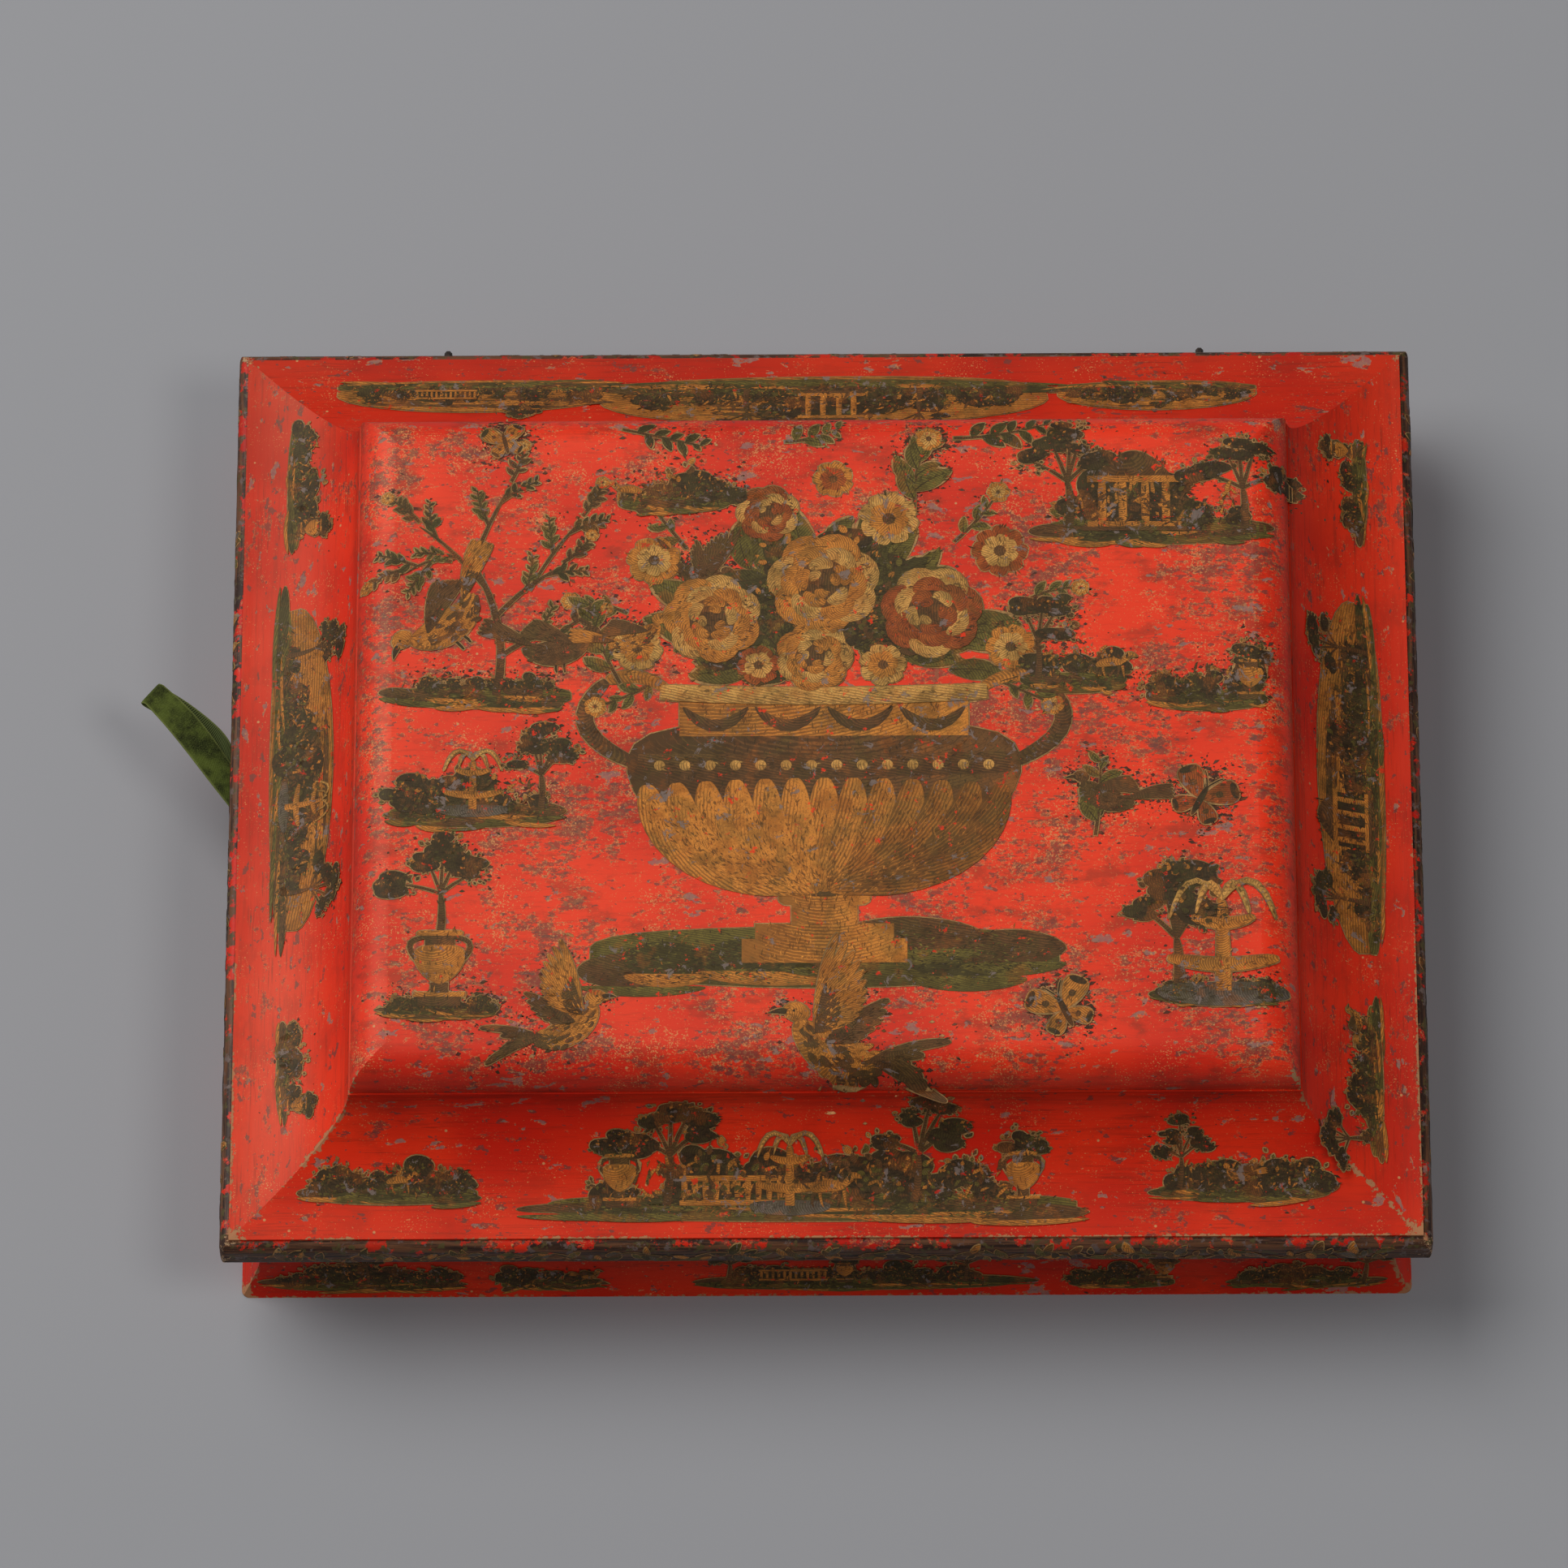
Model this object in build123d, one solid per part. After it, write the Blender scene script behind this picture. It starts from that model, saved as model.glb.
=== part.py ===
from build123d import *
from math import asin, atan2, cos, degrees, hypot, radians, sin, sqrt, tan
import os

# A lacquered wooden box for papers. Millimetres, +Z up, the front faces -Y and the
# ribbon is on the left, -X. The origin is the middle of the underside.

# The box
lid_width = 360.0  # left rim arris to right rim arris
lid_depth = 300.0  # front rim arris to back rim arris
box_height = 34.0
wall_inset = 8.5  # outer face of a wall at its top, in from the rim arris
wall_thickness = 9.0
foot_inset = 1.5  # outer face of a wall at the table
flare_height = 22.0  # height of the concave flare above the table
back_thickness = 9.0
bottom_thickness = 7.0
bottom_bearing = 4.5  # width of the rebate that the bottom board is let into
board_play = 0.2
corner_radius = 2.5  # worn upright corners

# The lid
parting_gap = 0.6  # between box and lid, taken up by the folded ribbon
rim_height = 13.4  # upright edge of the lid, from parting line to rim arris
cavetto_width = 36.5
cavetto_height = 25.0
rail_width = 52.0
land_width = 14.0  # flat under the rail that rests above the wall
land_height = 12.0
rail_lip = 11.0  # upright inner edge of the rail under the panel
panel_thickness = 12.0
panel_set_in = 0.5  # ledge between the top of the cavetto and the panel
panel_square = 0.6  # small upright square under the ovolo
edge_proud = 3.0
edge_height = 12.4
edge_top_curve = 3.0
edge_foot_curve = 4.0
edge_flat = 0.4  # ledge left above and below the strip's round

# Lining papers
paper = 0.5
paper_margin = 1.0  # bare wood left at the top of each wall

# Split cotter hinges, bent from flat iron wire with its outer edges hammered off
hinge_end = 62.0  # middle of a hinge, in from the end of the back rail
hinge_reach = 6.3  # axis behind the back rail
hinge_rise = 0.5  # axis above the top of the box
wire_width = 2.4
wire_thickness = 1.2
wire_bevel = 0.7
eye_radius = 2.8  # to the middle of the wire
leg_split = 0.1  # between the two legs of a cotter
neck_radius = 1.2
clench_length = 5.0
clench_radius = 0.85
clench_play = 0.15
box_leg_fall = 35.0  # degrees below level
lid_leg_rise = 14.0  # degrees above level
hole_play = 0.05
lining_hole = 3.4  # radius of the tear round each leg
leg_reach = 2.4  # how far a leg's hole is cut past its clenched end
notch_height = 3.0  # notch in the edge strip for the eyes
notch_play = 0.4

# Nails and tacks
nail_shank = 1.4  # square
nail_head = 4.0  # across the corners of the hammered head
nail_head_sides = 6
nail_head_thickness = 0.8
nail_play = 0.03
nail_bite = 9.0  # length in the wall beyond the board
bottom_nail_pitch = 110.0
back_nail_heights = (12.0, 24.0)
tack_head = 4.0
tack_head_thickness = 0.9
tack_shank = 1.2
tack_bite = 6.0

# The ribbon, flat width and thickness, and how it lies
ribbon_width = 10.0
ribbon_thickness = 0.5
nipped_thickness = 0.24
ribbon_slack = 0.05
ribbon_exit = 7.0  # middle of the ribbon where it passes the edge strip, along Y
ribbon_slant = 53.0  # degrees, towards the back as it goes out
ribbon_reach = 40.0  # from the edge strip to the fold
loop_rise = 2.2
loop_fall = 1.6
fold_radius = 1.5
tack_place = 15.0  # both tacks, along Y
box_tack_drop = 16.5  # below the top of the box
lid_tack_rise = 4.8  # above the parting line

# How far a cutting shape reaches past what it cuts
clear_cut = 1.0

# Worked out from the sizes above
half_width = lid_width / 2
half_depth = lid_depth / 2
lid_base = box_height + parting_gap
rim = lid_base + rim_height
cavetto_top = rim + cavetto_height
lid_top = cavetto_top + panel_thickness
inner_inset = wall_inset + wall_thickness
rebate_inset = inner_inset - bottom_bearing
slope_rise = cavetto_top - rail_lip - lid_base - land_height
slope_run = rail_width - land_width
overshoot = edge_proud + clear_cut
nodes = {}


def rectangle_inset(inset):
    """Plan outline at a distance in from the rim arris."""
    return Rectangle(lid_width - 2 * inset, lid_depth - 2 * inset)


def corner_waste(inset, radius):
    """What rounding the upright corners of a rectangle takes off."""
    size = radius + overshoot
    shift = size / 2 - radius
    middle_x, middle_y = half_width - inset + shift, half_depth - inset + shift
    plan = Pos(middle_x, middle_y) * Rectangle(size, size)
    plan -= Pos(middle_x - size / 2, middle_y - size / 2) * Circle(radius)
    post = extrude(Plane.XY.offset(-clear_cut) * plan, amount=lid_top + 2 * clear_cut)
    pair = post + mirror(post, about=Plane.YZ)
    return pair + mirror(pair, about=Plane.XZ)


def run_along_front(section, length, depth):
    """A section drawn as (inset, height), run along the front of a frame of that size."""
    start = Plane(
        origin=(-length / 2 - overshoot, -depth / 2, 0), x_dir=(0, 1, 0), z_dir=(1, 0, 0)
    )
    return extrude(start * section, amount=length + 2 * overshoot)


def mitre_wedge(length, depth, reach):
    """The space inside two 45 degree mitres, reaching in from the front of a frame."""
    near, far = -depth / 2 - overshoot, -depth / 2 + reach
    wide, narrow = length / 2 + overshoot, length / 2 - reach
    plan = make_face(
        Polyline((-wide, near), (wide, near), (narrow, far), (-narrow, far), close=True)
    )
    return extrude(Plane.XY.offset(-overshoot) * plan, amount=lid_top + 2 * overshoot)


def mitred_sides(section, reach):
    """The four mitred pieces of a frame, by side."""
    long_side = run_along_front(section, lid_width, lid_depth)
    long_side &= mitre_wedge(lid_width, lid_depth, reach)
    short_side = run_along_front(section, lid_depth, lid_width)
    short_side &= mitre_wedge(lid_depth, lid_width, reach)
    return {
        "front": long_side,
        "back": Rot(Z=180) * long_side,
        "left": Rot(Z=-90) * short_side,
        "right": Rot(Z=90) * short_side,
    }


def block(x, y, z):
    """A box between the given limits."""
    size = Box(x[1] - x[0], y[1] - y[0], z[1] - z[0])
    return Pos((x[0] + x[1]) / 2, (y[0] + y[1]) / 2, (z[0] + z[1]) / 2) * size


def rod(start, direction, length, radius):
    """A round rod from a point along a direction."""
    return extrude(Plane(origin=start, z_dir=direction) * Circle(radius), amount=length)


def flare_line():
    """The outer face of a wall, (inset, height): a concave flare, then upright."""
    depart = wall_inset - foot_inset
    radius = (flare_height**2 + depart**2) / (2 * depart)
    angle = asin(flare_height / radius)
    half = angle / 2
    middle = (
        wall_inset - radius * (1 - cos(half)),
        flare_height - radius * sin(half),
    )
    foot = (foot_inset, 0)
    arc = ThreePointArc(foot, middle, (wall_inset, flare_height))
    return arc + Line((wall_inset, flare_height), (wall_inset, box_height))


def wall_section():
    """Section of a wall, (inset, height), with the rebate for the bottom board."""
    inner = Polyline(
        (wall_inset, box_height),
        (inner_inset, box_height),
        (inner_inset, bottom_thickness),
        (rebate_inset, bottom_thickness),
        (rebate_inset, 0),
        (foot_inset, 0),
    )
    return make_face(flare_line() + inner)


def box_walls():
    """Front and side walls mitred in front, and a plain back that closes the sides."""
    walls = mitred_sides(wall_section(), inner_inset + clear_cut)
    corners = corner_waste(foot_inset, corner_radius)
    back_face = half_depth - back_thickness
    nodes["box_front"] = walls["front"] - corners
    side_wall = run_along_front(wall_section(), lid_depth, lid_width)
    between = block((-half_width, half_width), (-half_depth, back_face), (0, box_height))
    for side, turn in (("left", -90), ("right", 90)):
        wall = Rot(Z=turn) * side_wall & between
        nodes[f"box_{side}"] = wall - mitred_front_cut() - corners
    board = block((-half_width, half_width), (back_face, half_depth), (0, box_height))
    for turn in (-90, 90):
        board -= Rot(Z=turn) * run_along_front(flare_waste(), lid_depth, lid_width)
    rebate = block(
        (-half_width + rebate_inset, half_width - rebate_inset),
        (back_face - clear_cut, back_face + bottom_bearing),
        (-clear_cut, bottom_thickness),
    )
    nodes["box_back"] = board - rebate


def flare_waste():
    """What lies outside a wall's outer face, cut from the ends of the back board."""
    around = Polyline(
        (wall_inset, box_height),
        (wall_inset, box_height + clear_cut),
        (-overshoot, box_height + clear_cut),
        (-overshoot, -clear_cut),
        (foot_inset, -clear_cut),
        (foot_inset, 0),
    )
    return make_face(flare_line() + around)


def mitred_front_cut():
    """What the front wall's mitre takes from the side walls."""
    far = inner_inset + clear_cut
    plan = make_face(
        Polyline(
            (-half_width - overshoot, -half_depth - overshoot),
            (half_width + overshoot, -half_depth - overshoot),
            (half_width - far, -half_depth + far),
            (-half_width + far, -half_depth + far),
            close=True,
        )
    )
    return extrude(Plane.XY.offset(-clear_cut) * plan, amount=box_height + 2 * clear_cut)


def box_bottom():
    """The bottom board, in its rebate with a little play."""
    edge = rebate_inset + board_play / 2
    front = -half_depth + edge
    back = half_depth - back_thickness + bottom_bearing - board_play / 2
    nodes["box_bottom"] = block(
        (-half_width + edge, half_width - edge), (front, back), (0, bottom_thickness)
    )


def box_linings():
    """Papers on the floor and the four inner walls."""
    left, right = -half_width + inner_inset, half_width - inner_inset
    front, back = -half_depth + inner_inset, half_depth - back_thickness
    low, high = bottom_thickness + paper, box_height - paper_margin
    nodes["lining_floor"] = block(
        (left, right), (front, back), (bottom_thickness, bottom_thickness + paper)
    )
    nodes["lining_left"] = block((left, left + paper), (front, back), (low, high))
    nodes["lining_right"] = block((right - paper, right), (front, back), (low, high))
    between = (left + paper, right - paper)
    nodes["lining_front"] = block(between, (front, front + paper), (low, high))
    nodes["lining_back"] = block(between, (back - paper, back), (low, high))


def rail_section():
    """Cavetto-moulded rail, hollowed to a slope underneath."""
    cavetto = EllipticalCenterArc(
        (0, cavetto_top), cavetto_width, cavetto_height, start_angle=270, arc_size=90
    )
    rest = Polyline(
        (cavetto_width, cavetto_top),
        (rail_width, cavetto_top),
        (rail_width, cavetto_top - rail_lip),
        (land_width, lid_base + land_height),
        (land_width, lid_base),
        (0, lid_base),
        (0, rim),
    )
    return make_face(cavetto + rest)


def edge_section():
    """Half-round strip on the lid's upright edge, fuller at the foot."""
    low, high = lid_base, lid_base + edge_height
    face_foot = (-edge_proud, low + edge_foot_curve)
    face_top = (-edge_proud, high - edge_top_curve)
    foot = TangentArc(face_foot, (-edge_flat, low), tangent=(0, -1))
    top = TangentArc(face_top, (-edge_flat, high), tangent=(0, 1))
    rest = Polyline((-edge_flat, high), (0, high), (0, low), (-edge_flat, low))
    return make_face(foot + Line(face_foot, face_top) + top + rest)


def lid_frame():
    """Four mitred rails with a mitred half-round strip on their upright edges."""
    corners = corner_waste(-edge_proud, corner_radius)
    for side, piece in mitred_sides(rail_section(), rail_width + clear_cut).items():
        nodes[f"lid_rail_{side}"] = piece
    for side, piece in mitred_sides(edge_section(), rail_width).items():
        nodes[f"lid_edge_{side}"] = piece - corners


def lid_panel():
    """Raised panel: an ovolo all round, its four runs mitred into one board."""
    outer = cavetto_width + panel_set_in
    radius = panel_thickness - panel_square
    flat = outer + radius
    high = cavetto_top + panel_square
    ovolo = CenterArc((flat, high), radius, 90, 90)
    rest = Polyline((outer, high), (outer, cavetto_top), (flat, cavetto_top), (flat, lid_top))
    board = None
    for piece in mitred_sides(make_face(ovolo + rest), flat + clear_cut).values():
        board = piece if board is None else board + piece
    core = extrude(rectangle_inset(flat), amount=panel_thickness)
    nodes["lid_panel"] = board + Pos(0, 0, cavetto_top) * core


def lid_linings():
    """Papers on the sloping inner faces of the rails and under the panel."""
    slope = atan2(slope_rise, slope_run)
    drop = paper / cos(slope)
    foot = (land_width, lid_base + land_height)
    head = (rail_width, cavetto_top - rail_lip)
    section = make_face(
        Polyline(foot, head, (head[0], head[1] - drop), (foot[0], foot[1] - drop), close=True)
    )
    for side, piece in mitred_sides(section, rail_width + clear_cut).items():
        nodes[f"lid_lining_{side}"] = piece
    sheet = extrude(rectangle_inset(rail_width), amount=-paper)
    nodes["lid_lining_panel"] = Pos(0, 0, cavetto_top) * sheet


def cotter(fall, wall_distance):
    """A wire bent round an eye, its legs side by side, their ends clenched apart.

    Drawn flat: the eye's middle at the origin and the legs towards +X, turned down by
    fall degrees. wall_distance is from the eye's middle to the middle of the clenched
    ends, along X.
    """
    offset = (wire_thickness + leg_split) / 2
    neck = offset + neck_radius
    neck_start = sqrt((eye_radius + neck_radius) ** 2 - neck**2)
    angle = degrees(atan2(neck, neck_start))
    along = (cos(radians(fall)), -sin(radians(fall)))

    def turned(x, y):
        return (x * along[0] - y * along[1], x * along[1] + y * along[0])

    path = CenterArc((0, 0), eye_radius, angle - fall, 360 - 2 * angle)
    for sign in (1, -1):
        hollow = turned(neck_start, sign * neck)
        path += CenterArc(hollow, neck_radius, 180 + sign * angle - fall, sign * (90 - angle))
        start = turned(neck_start, sign * offset)
        run = (wall_distance - start[0]) / along[0]
        bend = (wall_distance, start[1] + run * along[1])
        finish = (wall_distance, bend[1] + sign * clench_length)
        path += FilletPolyline(start, bend, finish, radius=clench_radius)
    return path


def bent_wire(path):
    """Sweep bevelled wire along its path, its bevels outwards on the eye."""
    line = Wire(path.edges())
    section = Rectangle(wire_width, wire_thickness)
    section = chamfer(section.vertices().group_by(Axis.Y)[-1], wire_bevel)
    at = Plane(origin=line @ 0, x_dir=(0, 0, 1), z_dir=line % 0)
    if at.y_dir.X > 0:
        at = Plane(origin=line @ 0, x_dir=(0, 0, -1), z_dir=line % 0)
    return sweep(at * section, path=line)


def hinges():
    """Two linked cotter eyes at each hinge, with the holes that their legs go through."""
    axis_y = half_depth + hinge_reach
    axis_z = box_height + hinge_rise
    fall, rise = radians(box_leg_fall), radians(lid_leg_rise)
    back, edge = wire_thickness + leg_split / 2, wire_width / 2
    leg_hole = max(hypot(back, edge - wire_bevel), hypot(back - wire_bevel, edge)) + hole_play
    wall_face = half_depth - back_thickness - paper
    box_clench = axis_y - wall_face + wire_thickness / 2 + clench_play
    lid_face = half_depth - land_width
    tilt = wire_width / 2 * sin(rise)
    lid_clench = (axis_y - lid_face + wire_thickness / 2 + clench_play + tilt) / cos(rise)
    lid_clench -= eye_radius
    box_wire = bent_wire(cotter(box_leg_fall, box_clench))
    lid_wire = bent_wire(cotter(0, lid_clench))
    notch_half = eye_radius + wire_thickness / 2 + notch_play
    hinge_x = half_width - hinge_end
    for side, place in (("left", -hinge_x), ("right", hinge_x)):
        pivot = Vector(place, axis_y, axis_z)
        upright = Plane(origin=pivot, x_dir=(0, -1, 0), z_dir=(-1, 0, 0))
        lid_leg = Vector(0, -cos(rise), sin(rise))
        eye_middle = pivot + lid_leg * eye_radius
        level = Plane(origin=eye_middle, x_dir=lid_leg, z_dir=(0, sin(rise), cos(rise)))
        nodes[f"hinge_box_{side}"] = upright * box_wire
        nodes[f"hinge_lid_{side}"] = level * lid_wire
        box_leg = (0, -cos(fall), -sin(fall))
        reach = box_clench / cos(fall) + leg_reach
        nodes["box_back"] -= rod(pivot, box_leg, reach, leg_hole)
        nodes["lining_back"] -= rod(pivot, box_leg, reach, lining_hole)
        nodes["lid_rail_back"] -= rod(eye_middle, lid_leg, lid_clench, leg_hole)
        nodes["lid_edge_back"] -= block(
            (place - notch_half, place + notch_half),
            (half_depth, half_depth + edge_proud),
            (lid_base, lid_base + notch_height),
        )


def nail(head_middle, direction, length):
    """A wrought nail and the hole that it fills: a square shank, a hammered head set flush."""
    at = Plane(origin=head_middle, z_dir=direction)

    def shape(play):
        side = nail_shank + 2 * play
        head = at * RegularPolygon(nail_head / 2 + play, nail_head_sides)
        head = extrude(head, amount=nail_head_thickness + play)
        return head + extrude(at * Rectangle(side, side), amount=length + play)

    return shape(0), shape(nail_play)


def nails():
    """Nails up through the bottom board, and through the back into the side walls."""
    middle = (rebate_inset + inner_inset) / 2
    x_edge, front = half_width - middle, -half_depth + middle
    back = half_depth - back_thickness + bottom_bearing / 2
    spots = []
    across = int(lid_width // bottom_nail_pitch)
    for i in range(across):
        x = (i - (across - 1) / 2) * bottom_nail_pitch
        spots += [(x, front), (x, back)]
    down = int(lid_depth // bottom_nail_pitch)
    for i in range(down):
        y = (i - (down - 1) / 2) * bottom_nail_pitch
        spots += [(-x_edge, y), (x_edge, y)]
    made = [nail((x, y, 0), (0, 0, 1), bottom_thickness + nail_bite) for x, y in spots]
    nodes["bottom_nails"] = Compound(children=[solid for solid, hole in made])
    for solid, hole in made:
        for node in ("box_bottom", "box_front", "box_back", "box_left", "box_right"):
            nodes[node] -= hole
    made = []
    for x in (-half_width + middle, half_width - middle):
        for z in back_nail_heights:
            made.append(nail((x, half_depth, z), (0, -1, 0), back_thickness + nail_bite))
    nodes["back_nails"] = Compound(children=[solid for solid, hole in made])
    for solid, hole in made:
        for node in ("box_back", "box_left", "box_right"):
            nodes[node] -= hole


def tack(face_x, z, head_rest):
    """A domed tack driven towards -X, and the hole that its shank fills."""
    foot = (face_x, tack_place, z)
    length = head_rest + tack_bite
    radius, height = tack_head / 2, tack_head_thickness
    dome = TangentArc((0, height), (radius, 0), tangent=(1, 0))
    profile = make_face(dome + Polyline((radius, 0), (0, 0), (0, height)))
    head = Plane(origin=foot, z_dir=(1, 0, 0)) * revolve(Plane.XZ * profile, axis=Axis.Z)
    shank = rod(foot, (-1, 0, 0), length, tack_shank / 2)
    hole = rod(foot, (-1, 0, 0), length + nail_play, tack_shank / 2 + nail_play)
    return head + shank, hole


def ribbon_middle(x):
    """Y of the ribbon's middle line where it crosses an upright plane at x."""
    return ribbon_exit - (x + half_width + edge_proud) * tan(radians(ribbon_slant))


def nipped_strand(x_out, x_in, low, high):
    """A slanted flat strip of the ribbon between two upright planes."""
    half = ribbon_width / 2 / cos(radians(ribbon_slant))
    plan = make_face(
        Polyline(
            (x_out, ribbon_middle(x_out) - half),
            (x_in, ribbon_middle(x_in) - half),
            (x_in, ribbon_middle(x_in) + half),
            (x_out, ribbon_middle(x_out) + half),
            close=True,
        )
    )
    return extrude(Plane.XY.offset(low) * plan, amount=high - low)


def ribbon_tail(face, z_nip, z_tack):
    """A flat strip on an upright face, from the nip back to its tack."""
    nip = Vector(ribbon_middle(face), z_nip)
    pin = Vector(tack_place, z_tack)
    along = (pin - nip).normalized()
    across = Vector(-along.Y, along.X) * (ribbon_width / 2)
    end = pin + along * tack_head
    half = Vector(ribbon_width / 2 / cos(radians(ribbon_slant)), 0)
    if z_tack > z_nip:
        across = -across
    plan = make_face(Polyline(nip - half, nip + half, end + across, end - across, close=True))
    at = Plane(origin=(face, 0, 0), x_dir=(0, 1, 0), z_dir=(1, 0, 0))
    return extrude(at * plan, amount=nipped_thickness)


def ribbon_loop(nip_x, top, foot):
    """The folded loop outside the box, a bellied hairpin seen from its edge."""
    slant = radians(ribbon_slant)
    out = Vector(-cos(slant), sin(slant), 0)
    strip_x = -half_width - edge_proud
    inner = (nip_x - strip_x) / out.X - ribbon_width
    tip = ribbon_reach - fold_radius
    belly = (tip + ribbon_width) / 2
    middle = (top + foot) / 2
    fold_top, fold_foot = (tip, middle + fold_radius), (tip, middle - fold_radius)
    clear = ribbon_width / 2 * tan(slant)
    path = Line((inner, top), (clear, top))
    path += ThreePointArc((clear, top), (belly, top + loop_rise), fold_top)
    path += ThreePointArc(fold_top, (tip + fold_radius, middle), fold_foot)
    path += ThreePointArc(fold_foot, (belly, foot - loop_fall), (clear, foot))
    path += Line((clear, foot), (inner, foot))
    edge_on = Plane(origin=(strip_x, ribbon_exit, 0), x_dir=out, z_dir=(out.Y, -out.X, 0))
    band = edge_on * trace(path, line_width=ribbon_thickness)
    loop = extrude(band, amount=ribbon_width / 2, both=True)
    far_x = strip_x - 2 * ribbon_reach
    outside = block((far_x, nip_x), (-half_depth, half_depth), (0, lid_top))
    return loop & outside


def ribbon_and_tacks():
    """The stay: a loop nipped at the parting line, tacked to box and lid inside."""
    box_face = -half_width + inner_inset + paper
    lid_face = -half_width + land_width + ribbon_slack
    nip_x = -half_width + wall_inset - ribbon_thickness
    low = box_height + ribbon_slack
    high = lid_base - ribbon_slack - nipped_thickness
    top = high + nipped_thickness - ribbon_thickness / 2
    foot = top - ribbon_thickness - 2 * ribbon_slack
    outer = nip_x - ribbon_thickness
    band = ribbon_loop(nip_x, top, foot)
    band += nipped_strand(outer, box_face + nipped_thickness, low, low + nipped_thickness)
    band += nipped_strand(outer, lid_face + nipped_thickness, high, high + nipped_thickness)
    box_z = box_height - box_tack_drop
    lid_z = lid_base + lid_tack_rise
    band += ribbon_tail(box_face, low + nipped_thickness, box_z)
    band += ribbon_tail(lid_face, high, lid_z)
    box_tack, box_hole = tack(box_face + nipped_thickness, box_z, nipped_thickness + paper)
    lid_tack, lid_hole = tack(
        lid_face + nipped_thickness, lid_z, nipped_thickness + ribbon_slack
    )
    for node in ("lining_left", "box_left"):
        nodes[node] -= box_hole
    nodes["lid_rail_left"] -= lid_hole
    nodes["ribbon_stay"] = band - box_hole - lid_hole
    nodes["tack_box"] = box_tack
    nodes["tack_lid"] = lid_tack


box_walls()
box_bottom()
box_linings()
lid_frame()
lid_panel()
lid_linings()
hinges()
nails()
ribbon_and_tacks()

os.makedirs("parts", exist_ok=True)
for name, shape in nodes.items():
    export_step(shape, f"parts/{name}.step")
    print(name, round(shape.volume), "mm3")
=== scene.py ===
import bpy
import math
import numpy as np
from mathutils import Matrix, Vector
from types import SimpleNamespace


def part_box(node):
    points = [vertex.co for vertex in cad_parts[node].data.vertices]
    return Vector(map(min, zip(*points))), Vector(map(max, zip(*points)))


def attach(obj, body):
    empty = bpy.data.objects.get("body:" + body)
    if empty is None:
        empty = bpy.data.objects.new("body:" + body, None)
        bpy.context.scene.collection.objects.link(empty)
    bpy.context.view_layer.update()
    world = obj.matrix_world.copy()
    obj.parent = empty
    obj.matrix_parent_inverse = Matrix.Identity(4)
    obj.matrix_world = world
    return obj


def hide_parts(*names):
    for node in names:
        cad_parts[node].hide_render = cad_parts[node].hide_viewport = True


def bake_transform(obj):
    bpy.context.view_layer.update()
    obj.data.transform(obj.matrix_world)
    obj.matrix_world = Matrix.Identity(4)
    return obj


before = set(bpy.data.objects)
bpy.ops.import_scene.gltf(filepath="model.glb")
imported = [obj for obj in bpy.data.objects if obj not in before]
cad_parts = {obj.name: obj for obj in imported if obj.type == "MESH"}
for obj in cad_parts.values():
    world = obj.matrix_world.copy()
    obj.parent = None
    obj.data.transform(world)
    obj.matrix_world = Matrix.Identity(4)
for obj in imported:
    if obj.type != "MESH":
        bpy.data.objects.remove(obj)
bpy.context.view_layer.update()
print("loaded", len(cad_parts), "CAD nodes")

# The box in millimetres, as the CAD source has it
lid = {
    "halfWidth": 180.0,
    "halfDepth": 150.0,
    "rim": 48.0,  # height of the rim arris
    "coveWidth": 36.5,
    "coveTop": 73.0,
    "ledge": 0.5,
    "square": 0.6,
    "ovolo": 11.4,
    "top": 85.0,
}
wall = {"foot": 1.5, "upright": 8.5, "flare": 22.0, "top": 34.0}
bead = {"low": 34.6, "high": 47.0, "proud": 3.0, "ledge": 0.4, "topCurve": 3.0, "footCurve": 4.0}


# How a flat drawing is laid on the box
def coveProfile():
    # a quarter ellipse from the rim arris up to the fold, (inset, height)
    turn = np.linspace(0, math.pi / 2, 181)
    rise = lid["coveTop"] - lid["rim"]
    return np.stack([lid["coveWidth"] * np.sin(turn), lid["coveTop"] - rise * np.cos(turn)], 1)


def wallProfile():
    # a circular arc from the foot up to the flare's end, then straight up
    depart = wall["upright"] - wall["foot"]
    radius = (wall["flare"] ** 2 + depart**2) / (2 * depart)
    z = np.linspace(0, wall["flare"], 60)
    inset = wall["upright"] - radius + np.sqrt(radius**2 - (wall["flare"] - z) ** 2)
    upright = [[wall["upright"], wall["top"]]]
    return np.concatenate([np.stack([inset, z], 1), upright])


def beadProfile():
    # the strip from its foot to its top: an arc, an upright, an arc, each arc tangent to the upright
    share = np.linspace(0, 1, 20)
    reach = bead["proud"] - bead["ledge"]

    def inset(rise):
        radius = (reach**2 + rise**2) / (2 * reach)
        return -bead["proud"] + radius - np.sqrt(radius**2 - (rise * share) ** 2)

    foot = np.stack([inset(bead["footCurve"]), bead["low"] + bead["footCurve"] * (1 - share)], 1)
    top = np.stack([inset(bead["topCurve"]), bead["high"] - bead["topCurve"] * (1 - share)], 1)
    return np.concatenate([foot[::-1], top])


def unrolled(profile):
    # length along the profile, the profile, and its outward normal at each point
    step = np.gradient(profile, axis=0)
    step /= np.linalg.norm(step, axis=1)[:, None]
    length = np.concatenate([[0], np.cumsum(np.linalg.norm(np.diff(profile, axis=0), axis=1))])
    return length, profile, np.stack([-step[:, 1], step[:, 0]], 1)


bands = {"cove": unrolled(coveProfile()), "wall": unrolled(wallProfile()), "bead": unrolled(beadProfile())}
sideTurn = {"front": 0, "right": 90, "back": 180, "left": -90}


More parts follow.
